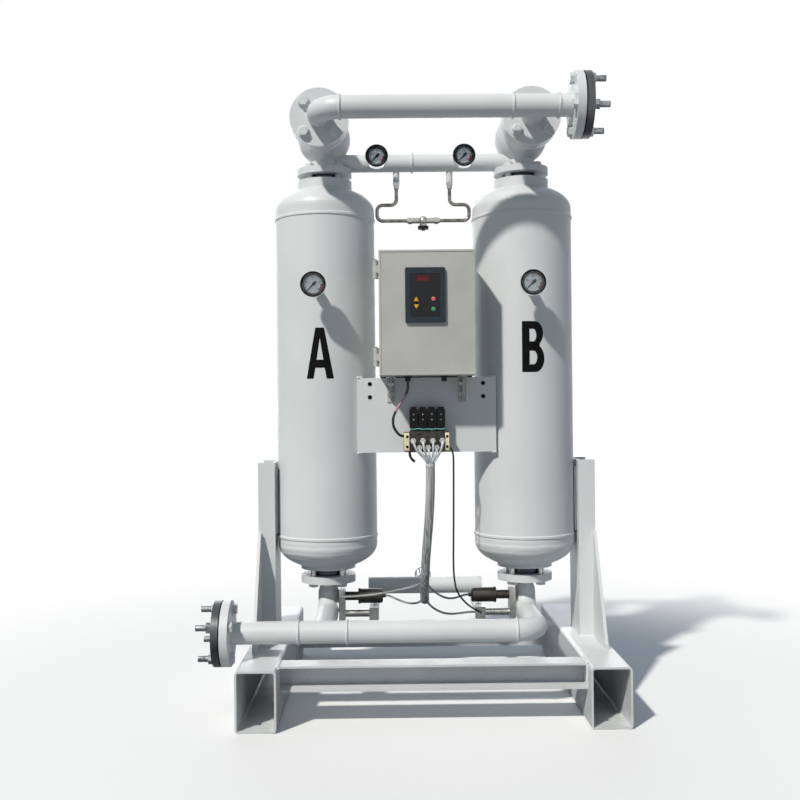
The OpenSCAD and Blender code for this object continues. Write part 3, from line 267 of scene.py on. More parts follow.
@dataclass(frozen=True)
class SprayedPaint(Finish):
    """Two-pack paint sprayed on steel: an even satin film with a faint orange peel and shop dust."""

    patch: float = 260.0
    patches: Span = (0.42, 0.75, 0.0, 0.28)
    peel: float = 5.0
    deep: str = "#b4babc"
    dust: str = "#a79f92"
    dusty_below: float = 210.0
    dustiest: float = 0.8
    grime: float = 38.0
    specks: Span = (0.48, 0.72, 0.0, 0.45)
    rubs: Span = (0.35, 0.7, 0.34, 0.50)

    def dress(self, canvas: Canvas) -> None:
        """Adds tone patches, floor dust, orange peel and rub marks.

        Args:
            canvas: The material's nodes.
        """
        cloud = canvas.add("TexNoise", {"Scale": 1 / mm(self.patch), "Detail": 4.0}, {"Vector": canvas.place})
        base = canvas.blend(cloud.outputs[0], self.patches, self.colour, self.deep)
        height = canvas.add("SeparateXYZ", None, {0: canvas.place})
        settling = (mm(self.dusty_below), 0.0, 0.0, self.dustiest)
        low = canvas.add("MapRange", dict(zip(SPAN, settling)), {0: height.outputs["Z"]})
        grime = canvas.add("TexNoise", {"Scale": 1 / mm(self.grime), "Detail": 6.0, "Roughness": 0.7},
                           {"Vector": canvas.place})
        speck = canvas.add("MapRange", dict(zip(SPAN, self.specks)), {0: grime.outputs[0]})
        film = canvas.add("Math", None, {0: low.outputs[0], 1: speck.outputs[0]}, operation="MULTIPLY")
        dusted = canvas.add("Mix", {MIX_B: linear(self.dust)}, {0: film.outputs[0], MIX_A: base},
                            data_type="RGBA")
        rub = canvas.add("MapRange", dict(zip(SPAN, self.rubs)), {0: grime.outputs[0]})
        peel = canvas.add("TexNoise", {"Scale": 1 / mm(self.peel), "Detail": 2.0}, {"Vector": canvas.place})
        bump = canvas.add("Bump", {"Strength": 0.10, "Distance": mm(0.5)}, {"Height": peel.outputs[0]})
        canvas.feed({"Base Color": dusted.outputs[MIX_OUT], "Roughness": rub.outputs[0],
                     "Normal": bump.outputs[0]})


@dataclass(frozen=True)
class SpunHeadPaint(SprayedPaint):
    """The same paint on a vessel: below its lower seam the spinning tool's uneven rings show through."""

    seam: float = 424.0
    fade: float = 16.0
    ring: float = 17.0

    def dress(self, canvas: Canvas) -> None:
        """Adds the paint, and the rings in its relief.

        Args:
            canvas: The material's nodes.
        """
        super().dress(canvas)
        peel = canvas.shader.inputs["Normal"].links[0].from_socket
        height = canvas.add("SeparateXYZ", None, {0: canvas.place})
        start = (mm(self.seam), mm(self.seam - self.fade), 0.0, 1.0)
        head = canvas.add("MapRange", dict(zip(SPAN, start)), {0: height.outputs["Z"]})
        wave = canvas.add("TexWave", {"Scale": WAVE_PERIOD / mm(self.ring), "Distortion": 3.0, "Detail": 2.0,
                                      "Detail Scale": 0.8}, {"Vector": canvas.place}, bands_direction="Z")
        rings = canvas.add("Math", None, {0: head.outputs[0], 1: wave.outputs[WAVE_OUT]},
                           operation="MULTIPLY")
        bump = canvas.add("Bump", {"Strength": 0.5, "Distance": mm(1.2)},
                          {"Height": rings.outputs[0], "Normal": peel})
        canvas.feed({"Normal": bump.outputs[0]})


@dataclass(frozen=True)
class PowderCoat(Finish):
    """Baked powder on sheet steel: a fine pebbled skin. The 3 mm pebble is drawn coarse enough to show."""

    pebble: float = 3.0
    deep: str = "#8f918c"
    patch: float = 140.0
    patches: Span = (0.4, 0.75, 0.0, 0.35)
    pebbles: Span = (0.0, 0.8, 0.42, 0.56)
    relief: Pair = (0.12, 0.4)

    def dress(self, canvas: Canvas) -> None:
        """Adds the pebbled skin and slow shifts of tone.

        Args:
            canvas: The material's nodes.
        """
        cloud = canvas.add("TexNoise", {"Scale": 1 / mm(self.patch), "Detail": 3.0}, {"Vector": canvas.place})
        canvas.feed({"Base Color": canvas.blend(cloud.outputs[0], self.patches, self.colour, self.deep)})
        skin = canvas.add("TexVoronoi", {"Scale": 1 / mm(self.pebble)}, {"Vector": canvas.place},
                          feature="SMOOTH_F1")
        canvas.grain(skin.outputs[0], self.pebbles, *self.relief)


@dataclass(frozen=True)
class Metal(Finish):
    """Bare metal with tool marks along one axis, blotches of tarnish and worn bright spots.

    The marks are drawn 0.4 mm apart, coarser than real ones, so that they show.
    """

    tarnish: str = "#6d6a64"
    roughness: float = 0.32
    blotch: float = 26.0
    marks: Point = (0.4, 60.0, 60.0)
    metallic: float = 1.0
    tarnished: float = 0.5
    stains: Pair = (0.45, 0.7)
    worn: Pair = (0.08, 0.12)
    relief: Pair = (0.08, 0.2)

    def dress(self, canvas: Canvas) -> None:
        """Adds tarnish, tool marks and their roughness.

        Args:
            canvas: The material's nodes.
        """
        canvas.fix({"Metallic": self.metallic})
        cloud = canvas.add("TexNoise", {"Scale": 1 / mm(self.blotch), "Detail": 5.0},
                           {"Vector": canvas.place})
        stains = (*self.stains, 0.0, self.tarnished)
        canvas.feed({"Base Color": canvas.blend(cloud.outputs[0], stains, self.colour, self.tarnish)})
        drawn = canvas.add("Mapping", {"Scale": [1 / mm(size) for size in self.marks]},
                           {"Vector": canvas.place})
        lines = canvas.add("TexNoise", {"Scale": 1.0, "Detail": 3.0}, {"Vector": drawn.outputs[0]})
        polish = (NOISE_LOW, NOISE_HIGH, self.roughness - self.worn[0], self.roughness + self.worn[1])
        canvas.grain(lines.outputs[0], polish, *self.relief)


@dataclass(frozen=True)
class PaintedBolt(Metal):
    """Bolt steel whose heads were sprayed over with the pipework: dull grey heads on bright shanks."""

    paint: str = "#c9cdce"
    axis: str = "X"
    painted: Pair = (-502.0, 362.0)

    def dress(self, canvas: Canvas) -> None:
        """Adds the bare steel, and paint over the stretch where the heads are.

        Args:
            canvas: The material's nodes.
        """
        super().dress(canvas)
        steel = canvas.shader.inputs["Base Color"].links[0].from_socket
        head = canvas.stretch(self.axis, self.painted)
        base = canvas.add("Mix", {MIX_B: linear(self.paint)}, {0: head, MIX_A: steel}, data_type="RGBA")
        bare = canvas.add("Math", {0: self.metallic}, {1: head}, operation="SUBTRACT")
        canvas.feed({"Base Color": base.outputs[MIX_OUT], "Metallic": bare.outputs[0]})


@dataclass(frozen=True)
class Moulded(Finish):
    """Moulded plastic or rubber: an even colour with a fine spark-eroded grain.

    The grain is drawn at 1.6 mm or more, coarser than a real one, so that it shows.
    """

    sheen: Sheen = Sheen.SATIN
    grain: float = 1.6
    lift: str = "#2b2d30"
    lifted: float = 0.25
    gleam: float = 0.5
    bloom: float = 18.0
    blooms: Pair = (0.45, 0.75)
    worn: Pair = (0.05, 0.08)
    relief: Pair = (0.12, 0.2)

    def dress(self, canvas: Canvas) -> None:
        """Adds the grain and a faint bloom.

        Args:
            canvas: The material's nodes.
        """
        canvas.fix({"Specular IOR Level": self.gleam})
        cloud = canvas.add("TexNoise", {"Scale": 1 / mm(self.bloom), "Detail": 4.0}, {"Vector": canvas.place})
        blooms = (*self.blooms, 0.0, self.lifted)
        canvas.feed({"Base Color": canvas.blend(cloud.outputs[0], blooms, self.colour, self.lift)})
        grit = canvas.add("TexNoise", {"Scale": 1 / mm(self.grain), "Detail": 2.0}, {"Vector": canvas.place})
        polish = (NOISE_LOW, NOISE_HIGH, self.sheen.value - self.worn[0], self.sheen.value + self.worn[1])
        canvas.grain(grit.outputs[0], polish, *self.relief)


@dataclass(frozen=True)
class ClearPlastic(Finish):
    """Clear or milky plastic that lets part of the light through, with fine bands along its length."""

    see_through: float = 0.5
    band: float = 14.0
    bands: Span = (0.2, 0.9, 0.0, 0.8)
    lean: float = 18.0
    milk: str = "#c9cfd3"
    roughness: float = 0.22

    def dress(self, canvas: Canvas) -> None:
        """Adds milky bands and streaks.

        Args:
            canvas: The material's nodes.
        """
        canvas.fix({"Transmission Weight": self.see_through, "Roughness": self.roughness, "IOR": 1.49})
        turned = canvas.add("Mapping", {"Rotation": (math.radians(self.lean), 0.0, 0.0)},
                            {"Vector": canvas.place})
        wave = canvas.add("TexWave", {"Scale": WAVE_PERIOD / mm(self.band), "Distortion": 2.0, "Detail": 2.0,
                                      "Detail Scale": 2.0},
                          {"Vector": turned.outputs[0]}, bands_direction="Z")
        base = canvas.blend(wave.outputs[WAVE_OUT], self.bands, self.colour, self.milk)
        bump = canvas.add("Bump", {"Strength": 0.35, "Distance": mm(0.8)}, {"Height": wave.outputs[WAVE_OUT]})
        canvas.feed({"Base Color": base, "Normal": bump.outputs[0]})


@dataclass(frozen=True)
class StrandSleeve(Finish):
    """A clear sleeve drawn over tubes that lie side by side: long light and dark streaks down its length."""

    strand: float = 4.2
    length: float = 160.0
    streaks: Span = (0.40, 0.64, 0.0, 1.0)
    light: str = "#c4c6c6"

    def dress(self, canvas: Canvas) -> None:
        """Adds the streaks and their relief.

        Args:
            canvas: The material's nodes.
        """
        canvas.fix({"Roughness": 0.22, "Transmission Weight": 0.15})
        sizes = (self.strand, self.strand, self.length)
        pulled = canvas.add("Mapping", {"Scale": [1 / mm(size) for size in sizes]}, {"Vector": canvas.place})
        streak = canvas.add("TexNoise", {"Scale": 1.0, "Detail": 3.0}, {"Vector": pulled.outputs[0]})
        base = canvas.blend(streak.outputs[0], self.streaks, self.colour, self.light)
        bump = canvas.add("Bump", {"Strength": 0.6, "Distance": mm(2.0)}, {"Height": streak.outputs[0]})
        canvas.feed({"Base Color": base, "Normal": bump.outputs[0]})


@dataclass(frozen=True)
class TwoToneJacket(Finish):
    """A black cable jacket with a pink sleeve over its upper bend, and a grain coarse enough to show."""

    sleeve: str = "#a9878d"
    sleeved: Pair = (768.0, 812.0)
    grain: float = 1.6

    def dress(self, canvas: Canvas) -> None:
        """Colours the sleeve by height and adds a fine grain.

        Args:
            canvas: The material's nodes.
        """
        canvas.fix({"Roughness": 0.38})
        base = canvas.add("Mix", {MIX_A: linear(self.colour), MIX_B: linear(self.sleeve)},
                          {0: canvas.stretch("Z", self.sleeved)}, data_type="RGBA")
        grit = canvas.add("TexNoise", {"Scale": 1 / mm(self.grain)}, {"Vector": canvas.place})
        bump = canvas.add("Bump", {"Strength": 0.1, "Distance": mm(0.2)}, {"Height": grit.outputs[0]})
        canvas.feed({"Base Color": base.outputs[MIX_OUT], "Normal": bump.outputs[0]})


@dataclass(frozen=True)
class WindowGlass(Finish):
    """Flat instrument glass, clean and thin, with a few faint wipe marks in its gloss."""

    wipe: float = 12.0
    wipes: Span = (0.4, 0.8, 0.0, 0.05)

    def dress(self, canvas: Canvas) -> None:
        """Makes the glass clear and its gloss slightly uneven.

        Args:
            canvas: The material's nodes.
        """
        canvas.fix({"Transmission Weight": 1.0, "IOR": 1.45})
        wipe = canvas.add("TexNoise", {"Scale": 1 / mm(self.wipe), "Detail": 2.0}, {"Vector": canvas.place})
        rough = canvas.add("MapRange", dict(zip(SPAN, self.wipes)), {0: wipe.outputs[0]})
        canvas.feed({"Roughness": rough.outputs[0]})


@dataclass(frozen=True)
class PackedBeads(Finish):
    """Activated alumina: off-white beads of about 4 mm, packed tight."""

    bead: float = 4.0
    # Painted shade: each bead darkens towards the gaps between the beads
    gap_shading: Span = (0.35, 0.75, 0.0, 0.75)
    shade: str = "#8d877a"

    def dress(self, canvas: Canvas) -> None:
        """Adds a cell for each bead, rounded and a little darker between.

        Args:
            canvas: The material's nodes.
        """
        canvas.fix({"Roughness": 0.85})
        cells = canvas.add("TexVoronoi", {"Scale": 1 / mm(self.bead)}, {"Vector": canvas.place})
        base = canvas.blend(cells.outputs[0], self.gap_shading, self.colour, self.shade)
        bump = canvas.add("Bump", {"Strength": 0.8, "Distance": mm(1.5)}, {"Height": cells.outputs[0]},
                          invert=True)
        canvas.feed({"Base Color": base, "Normal": bump.outputs[0]})


# Light grey two-pack paint on the frame and pipes: even, satin, a little dusty near the floor
GREY_PAINT = SprayedPaint("sprayed_light_grey_paint", "#d4d8d9")
# The same paint on the towers, over spun heads whose rings catch the light
VESSEL_PAINT = SpunHeadPaint("sprayed_paint_on_spun_heads", "#d4d8d9")
# Warm grey powder coat on the cabinet: dull and finely pebbled
CABINET_COAT = PowderCoat("warm_grey_powder_coat", "#b9bab5")
# Turned mill steel of the counter flanges: dark grey with soft highlights
MILL_STEEL = Metal("turned_bare_steel", "#595b5e", tarnish="#2e2d2d", roughness=0.30, blotch=40.0)
# Zinc-plated steel: pale and slightly cloudy
ZINC = Metal("zinc_plated_steel", "#c3c4c1", tarnish="#8c897f", roughness=0.34, blotch=14.0)
# Turned stainless steel: clean and bright, with fine turning marks
STAINLESS = Metal("turned_stainless_steel", "#b6b6b3", tarnish="#7b7974", roughness=0.26, blotch=18.0)
# Stainless steel of the strainers, coloured dark blue-grey and dull: painted shade of the recess between the
# flanges
SHADED_STAINLESS = Metal("stainless_darkened_as_gap_shade", "#474d53", tarnish="#26292d", roughness=0.40, blotch=12.0)
# Oiled castings of the actuators: brown-black with a greasy sheen
DARK_CAST = Metal("oiled_dark_casting", "#4a4744", tarnish="#262423", roughness=0.36, blotch=22.0,
                  metallic=0.85)
# Drawn stainless tube: streaky, dark between bright lines
TUBE_STEEL = Metal("drawn_stainless_tube", "#8e8b86", tarnish="#45433f", roughness=0.24, blotch=16.0,
                   tarnished=0.8)
# Polished chrome on the gauge cases: nearly a mirror
CHROME = Metal("polished_chrome", "#d9dcdf", tarnish="#b9bcc0", roughness=0.12, blotch=30.0, tarnished=0.2)
# Die-cast alloy of the pilot manifold: dark and mottled
ALLOY = Metal("die_cast_alloy", "#474543", tarnish="#232221", roughness=0.42, blotch=9.0, tarnished=0.9)
# Oily bolt steel: grey with dark smears
OILED_BOLT = Metal("oily_dark_bolt_steel", "#85888b", tarnish="#37383a", roughness=0.28, blotch=8.0,
                   tarnished=0.9)
# Oily studs whose heads were painted with the flanges
PORT_STUD = PaintedBolt("oily_stud_with_painted_head", "#9a9da0", tarnish="#37383a", roughness=0.24,
                        blotch=8.0, tarnished=0.8)
# Zinc-plated bolts whose heads were painted with the pipes
NOZZLE_BOLT = PaintedBolt("zinc_bolt_with_painted_head", "#c3c4c1", tarnish="#8c897f", roughness=0.34,
                          blotch=14.0, axis="Z", painted=(0.0, 298.0))
# Nickel brass of the end plates: pale yellow and satin
BRASS = Metal("nickel_brass_plate", "#ddd2b4", tarnish="#a3936a", roughness=0.38, blotch=10.0)
# Moulded gasket rubber: matt black
RUBBER = Moulded("black_gasket_rubber", "#121314", Sheen.MATT, lift="#2a2b2d", gleam=0.25)
# Moulded ABS: satin black with hardly a highlight
BLACK_ABS = Moulded("black_moulded_plastic", "#121315", Sheen.SATIN, gleam=0.25)
# Moulded coil resin: deep black with a coarse grain
COIL_RESIN = Moulded("black_coil_resin", "#08090a", Sheen.SATIN, grain=2.4, lift="#141516", gleam=0.16)
# Moulded ABS of the controller's bezel: blue-black and satin
BEZEL_ABS = Moulded("blue_black_bezel_plastic", "#1a2731", Sheen.SATIN, lift="#2f4049", lifted=0.35,
                    gleam=0.3)
# Printed fascia film: glossy and nearly black
FASCIA = Moulded("printed_fascia_film", "#101216", Sheen.GLOSS, lift="#191c21", gleam=0.3)
# Smoked acrylic window: dark red and glossy
DISPLAY_RED = Moulded("smoked_red_window", "#2c0708", Sheen.GLOSS, lift="#3f0b0c", lifted=0.5, gleam=0.3)
# Unlit segments: dim red under the window
SEGMENT_RED = Moulded("dim_red_segments", "#7c1414", Sheen.GLOSS, lift="#8d1a19", gleam=0.3)
# Embossed key films: flat satin colours
KEY_YELLOW = Moulded("yellow_key_film", "#e0a416", Sheen.SATIN, lift="#c98a08")
KEY_RED = Moulded("red_key_film", "#d4636f", Sheen.SATIN, lift="#b94a55")
KEY_GREEN = Moulded("green_key_film", "#2f9a62", Sheen.SATIN, lift="#237a4c")
# Enamelled dial: silvery and even
DIAL_WHITE = Moulded("silvery_dial_enamel", "#b3bbc3", Sheen.SATIN, grain=3.0, lift="#a3abb3")
# Cut black film and black print: flat, with no shine
INK_BLACK = Moulded("black_sign_film", "#060607", Sheen.MATT, lift="#0c0d0e", gleam=0.08)
# Red dial print: flat and satin
INK_RED = Moulded("red_dial_ink", "#8e1019", Sheen.SATIN, lift="#7a0c14", gleam=0.2)
# Enamelled gauge rims: black with a soft edge light
RIM_BLACK = Moulded("black_enamelled_rim", "#0a0b0c", Sheen.SATIN, lift="#17181a", gleam=0.12)
# Moulded terminal plastic: pale grey-green
TERMINAL = Moulded("grey_terminal_plastic", "#8d948d", Sheen.SATIN, lift="#a5aba4")
# PVC wire insulation: soft teal
TEAL_PVC = Moulded("teal_wire_insulation", "#5fa39c", Sheen.SATIN, lift="#7db8b1")
# PVC cable jacket: satin black
PVC_BLACK = Moulded("black_cable_jacket", "#1a1b1d", Sheen.SATIN, lift="#303236")
# Instrument glass: clear, with faint wipe marks
GLASS = WindowGlass("instrument_glass", "#f4f8f9")
# Clear polyurethane tube: bright and watery
CLEAR_TUBE = ClearPlastic("clear_pneumatic_tube", "#e3e8ea", see_through=0.45, roughness=0.12, milk="#f2f5f6")
# Aged polyurethane tube: grey and cloudy
PILOT_TUBE = ClearPlastic("aged_pneumatic_tube", "#8b8f90", see_through=0.30, milk="#b4b7b6")
# Clear sleeve over several tubes: long light and dark streaks
SLEEVE = StrandSleeve("clear_sleeve_over_tubes", "#75777a")
# PVC cable jacket: satin black, pink at its upper bend
LEAD_JACKET = TwoToneJacket("black_and_pink_lead", "#1a1b1d")
# Activated alumina: chalky off-white beads
ALUMINA = PackedBeads("activated_alumina_beads", "#e6e1d4")

NODE_FINISHES: dict[Finish, tuple[str, ...]] = {
    GREY_PAINT: (
        "left_skid_rail", "right_skid_rail", "front_crossmember", "rear_crossmember", "left_upright",
        "right_upright", "top_flange_bolts", "inlet_manifold", "outlet_manifold", "exhaust_manifold",
        "outlet_valve_bodies", "cover_bolts", "purge_pipe", "mounting_panel"),
    VESSEL_PAINT: ("tower_a_vessel", "tower_b_vessel"),
    CABINET_COAT: ("cabinet_body", "cabinet_door", "cabinet_brackets"),
    MILL_STEEL: ("inlet_counter_flange", "outlet_counter_flange"),
    ZINC: ("exhaust_plunger_a", "exhaust_plunger_b", "back_plate", "tube_fittings"),
    NOZZLE_BOLT: ("bottom_flange_bolts",),
    PORT_STUD: ("port_studs",),
    STAINLESS: ("support_screens", "exhaust_valve_bodies", "silencer", "check_disc_a", "check_disc_b",
                "purge_fittings", "needle_valve_body"),
    # The strainers' dark blue-grey is painted shade of the gap between the flanges
    SHADED_STAINLESS: ("strainers",),
    DARK_CAST: ("exhaust_actuators",),
    TUBE_STEEL: ("purge_tubes",),
    CHROME: ("gauge_cases",),
    ALLOY: ("valve_manifold",),
    RUBBER: ("flange_gaskets", "door_gasket"),
    BLACK_ABS: ("needle_valve_knob", "cable_glands", "hinge_pins"),
    BEZEL_ABS: ("controller",),
    COIL_RESIN: ("solenoid_coils",),
    TERMINAL: ("terminal_strip",),
    DIAL_WHITE: ("gauge_dials",),
    INK_BLACK: ("gauge_needle_a", "gauge_needle_b", "gauge_needle_left", "gauge_needle_right"),
    GLASS: ("gauge_lenses",),
    ALUMINA: ("desiccant_beds",),
}


class Bench:
    """Edit-mode steps that the pieces share. Sizes and places are in millimetres."""

    @staticmethod
    def start(name: str, add: Callable[..., Any], **options: Any) -> Piece:
        """Adds a primitive with nothing else selected.

        Args:
            name: The piece's name.
            add: The operator that adds it.
            **options: The operator's own options.

        Returns:
            The new piece.
        """
        bpy.ops.object.select_all(action="DESELECT")
        add(**options)
        piece = bpy.context.object
        piece.name = name
        piece.data.name = name
        return piece

    @staticmethod
    def only(piece: Piece) -> None:
        """Selects one piece and makes it active.

        Args:
            piece: The piece.
        """
        bpy.ops.object.select_all(action="DESELECT")
        piece.select_set(True)
        bpy.context.view_layer.objects.active = piece

    @classmethod
    def settle(cls, piece: Piece) -> Piece:
        """Puts a piece's place and turn into its mesh.

        Args:
            piece: The piece.

        Returns:
            The piece.
        """
        cls.only(piece)
        bpy.ops.object.transform_apply(location=True, rotation=True, scale=True)
        return piece

    @classmethod
    def disc(cls, name: str, radius: float, depth: float, sides: int, middle: Point = (0.0, 0.0, 0.0),
             turn: float = 0.0) -> Piece:
        """Makes a disc or a prism that faces the front.

        Args:
            name: The piece's name.
            radius: Its radius.
            depth: Its depth.
            sides: How many sides it has.
            middle: Its middle.
            turn: Its turn about its own axis, in degrees.

        Returns:
            The disc.
        """
        piece = cls.start(name, bpy.ops.mesh.primitive_cylinder_add, vertices=sides, radius=mm(radius),
                          depth=mm(depth), rotation=(QUARTER, math.radians(turn), 0.0),
                          location=mm_point(middle))
        return cls.settle(piece)

    @classmethod
    def block(cls, name: str, size: Point, middle: Sequence[float], turn: float = 0.0) -> Piece:
        """Makes a block.

        Args:
            name: The piece's name.
            size: Its width, depth and height.
            middle: Its middle.
            turn: Its turn about an axis along Y, in degrees.

        Returns:
            The block.
        """
        piece = cls.start(name, bpy.ops.mesh.primitive_cube_add, size=1.0)
        piece.scale = mm_point(size)
        piece.location = mm_point(middle)
        piece.rotation_euler = (0.0, math.radians(turn), 0.0)
        return cls.settle(piece)

    @classmethod
    def edit(cls, piece: Piece, wanted: Callable[[Any], bool], kind: str = "FACE") -> None:
        """Enters edit mode with the wanted faces or edges selected.

        Args:
            piece: The piece to edit.
            wanted: Says which of them to select.
            kind: FACE or EDGE.
        """
        cls.only(piece)
        bpy.ops.object.mode_set(mode="EDIT")
        bpy.ops.mesh.select_mode(type=kind)
        bpy.ops.mesh.select_all(action="DESELECT")
        bpy.ops.object.mode_set(mode="OBJECT")
        for part in piece.data.polygons if kind == "FACE" else piece.data.edges:
            part.select = wanted(part)
        bpy.ops.object.mode_set(mode="EDIT")

    @classmethod
    def edit_all(cls, piece: Piece) -> None:
        """Enters edit mode with everything selected."""
        cls.edit(piece, lambda face: True)
        bpy.ops.mesh.select_all(action="SELECT")

    @staticmethod
    def leave() -> None:
        """Goes back to object mode."""
        bpy.ops.object.mode_set(mode="OBJECT")

    @classmethod
    def press(cls, piece: Piece, *steps: Pair, cuts: int = 0) -> Piece:
        """Insets a piece's front face.

        Args:
            piece: The piece.
            *steps: Each inset's width and its rise, which is negative where it sinks.
            cuts: How often the face is divided first.

        Returns:
            The piece.
        """
        cls.edit(piece, lambda face: face.normal.y < -FACING)
        if cuts:
            bpy.ops.mesh.subdivide(number_cuts=cuts)
        for width, rise in steps:
            bpy.ops.mesh.inset(thickness=mm(width), depth=mm(rise))
        cls.leave()
        return piece

    @classmethod
    def modify(cls, piece: Piece, kind: str, **settings: Any) -> None:
        """Adds a modifier and applies it.

        Args:
            piece: The piece to change.
            kind: The modifier's type.
            **settings: The modifier's own settings.
        """
        cls.only(piece)
        step = piece.modifiers.new(kind.lower(), kind)
        for name, value in settings.items():
            setattr(step, name, value)
        bpy.ops.object.modifier_apply(modifier=step.name)

    @classmethod
    def round_edges(cls, piece: Piece, width: float, segments: int = 2) -> Piece:
        """Rounds a piece's sharp edges and returns it."""
        cls.modify(piece, "BEVEL", width=mm(width), segments=segments, limit_method="ANGLE")
        return piece

    @classmethod
    def tidy_shell(cls, piece: Piece) -> Piece:
        """Merges doubles and turns all faces outwards.

        Args:
            piece: The piece.

        Returns:
            The piece.
        """
        cls.edit_all(piece)
        bpy.ops.mesh.remove_doubles(threshold=mm(MERGED))
        bpy.ops.mesh.normals_make_consistent(inside=False)
        cls.leave()
        return piece

    @classmethod
    def smooth(cls, piece: Piece, angle: float = 40.0) -> Piece:
        """Smooths a piece's shading.

        Args:
            piece: The piece.
            angle: The sharpest edge that is smoothed, in degrees.

        Returns:
            The piece.
        """
        cls.only(piece)
        bpy.ops.object.shade_smooth_by_angle(angle=math.radians(angle))
        return piece

    @classmethod
    def join(cls, pieces: Sequence[Piece], name: str) -> Piece:
        """Joins pieces into the first one.

        Args:
            pieces: The pieces.
            name: The joined piece's name.

        Returns:
            The joined piece.
        """
        bpy.ops.object.select_all(action="DESELECT")
        for piece in pieces:
            piece.select_set(True)
        bpy.context.view_layer.objects.active = pieces[0]
        if len(pieces) > 1:
            bpy.ops.object.join()
        pieces[0].name = name
        pieces[0].data.name = name
        return pieces[0]

    @classmethod
    def scatter(cls, first: Piece, name: str, spots: Sequence[Point]) -> Piece:
        """Copies a piece to each spot, with its own mesh, and joins the copies.

        Args:
            first: The piece to copy, which is then removed.
            name: The joined piece's name.
            spots: Where the copies go.

        Returns:
            The joined piece.
        """
        made: list[Piece] = []
        for spot in spots:
            copy = bpy.data.objects.new(name, first.data.copy())
            copy.data.transform(Matrix.Translation(mm_point(spot)))
            bpy.context.collection.objects.link(copy)
            made.append(copy)
        bpy.data.objects.remove(first)
        return cls.join(made, name)

    @staticmethod
    def curve(name: str, lines: Sequence[Sequence[Sequence[float]]], closed: bool, **settings: Any) -> Piece:
        """Adds a curve object.

        Args:
            name: The piece's name.
            lines: The points of each of its lines, in metres.
            closed: Whether the lines close on themselves.
            **settings: The curve's own settings.

        Returns:
            The curve object.
        """
        data = bpy.data.curves.new(name, "CURVE")
        for key, value in settings.items():
            setattr(data, key, value)
        for points in lines:
            spline = data.splines.new("POLY")
            spline.points.add(len(points) - 1)
            for slot, point in zip(spline.points, points):
                slot.co = (*point, 1.0)
            spline.use_cyclic_u = closed
        piece = bpy.data.objects.new(name, data)
        bpy.context.collection.objects.link(piece)
        return piece

    @classmethod
    def tube(cls, name: str, points: Sequence[Vector], diameter: float, fineness: int) -> Piece:
        """Adds a round tube along a line.

        Args:
            name: The piece's name.
            points: The line's points, in metres.
            diameter: Its diameter.
            fineness: How finely it is rounded.

        Returns:
            The tube, as a curve.
        """
        return cls.curve(name, [points], False, dimensions="3D", bevel_depth=mm(diameter) / 2,
                         bevel_resolution=fineness, use_fill_caps=True)

    @classmethod
    def to_mesh(cls, piece: Piece) -> Piece:
        """Turns a curve or text to a mesh.

        Args:
            piece: The curve or text.

        Returns:
            The mesh.
        """
        cls.only(piece)
        bpy.ops.object.convert(target="MESH")
        return bpy.context.object

    @classmethod
    def figures(cls, name: str, body: str, height: float, centre: Point) -> Piece:
        """Makes thin raised figures that face the front.

        Args:
            name: The piece's name.
            body: The figures.
            height: Their type size.
            centre: Their middle.

        Returns:
            The figures as a closed mesh.
        """
        piece = cls.start(name, bpy.ops.object.text_add)
        word = piece.data
        word.body = body
        word.size = mm(height)
        word.align_x = "CENTER"
        word.align_y = "CENTER"
        word.extrude = mm(FIGURE_T)
        word.resolution_u = 3
        piece = cls.to_mesh(piece)
        piece.rotation_euler = (QUARTER, 0.0, 0.0)
        piece.location = mm_point(centre)
        return cls.tidy_shell(cls.settle(piece))

    @classmethod
    def ring(cls, name: str, radius: float, section: Pair, centre: Point) -> Piece:
        """Spins an oval section into a ring about an axis along Y.

        Args:
            name: The ring's name.
            radius: Radius at the middle of the section.
            section: Width and depth of the section.
            centre: The ring's centre.

        Returns:
            The ring.
        """
        piece = cls.start(name, bpy.ops.mesh.primitive_circle_add, vertices=14, radius=0.5,
                          location=(mm(radius), 0.0, 0.0))
        piece.scale = (mm(section[0]), mm(section[1]), 1.0)
        cls.settle(piece)
        cls.edit_all(piece)
        bpy.ops.mesh.spin(steps=64, angle=2 * math.pi, center=(0.0, 0.0, 0.0), axis=(0.0, 1.0, 0.0))
        cls.leave()
        piece.data.transform(Matrix.Translation(mm_point(centre)))
        return cls.smooth(cls.tidy_shell(piece), angle=60.0)


def dress(piece: Piece, finish: Finish, body: Body = Body.FRAME) -> Piece:
    """Gives a piece its finish and the body it rides on.

    Args:
        piece: The piece.
        finish: Its finish.
        body: The body that it rides on.

    Returns:
        The piece.
    """
    piece.data.materials.clear()
    piece.data.materials.append(finish.material())
    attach(piece, body.value)
    LOG.info("%s: %s", piece.name, finish.name)
    return piece


@dataclass
class ViewCamera:
    """The camera at the photograph's viewing angle."""

    place: Point = (-104.0, -2785.0, 784.0)
    lens: float = 45.0
    sensor: float = 36.0
    turn: float = 0.0070
    roll: float = 0.0100
    shift: Pair = (0.0067, 0.0065)

    def build(self) -> None:
        """Adds the camera and makes it the scene's own."""
        data = bpy.data.cameras.new("view_camera")
        data.lens = self.lens
        data.sensor_width = self.sensor
        data.shift_x, data.shift_y = self.shift
        camera = bpy.data.objects.new("view_camera", data)
        ahead = Vector((math.sin(self.turn), math.cos(self.turn), 0.0))
        side = Vector((ahead.y, -ahead.x, 0.0))
        up = Vector((0.0, 0.0, 1.0))
        right = side * math.cos(self.roll) - up * math.sin(self.roll)
        top = side * math.sin(self.roll) + up * math.cos(self.roll)
        turned = Matrix((right, top, -ahead)).transposed()
        camera.matrix_world = Matrix.Translation(mm_point(self.place)) @ turned.to_4x4()
        bpy.context.collection.objects.link(camera)
        bpy.context.scene.camera = camera


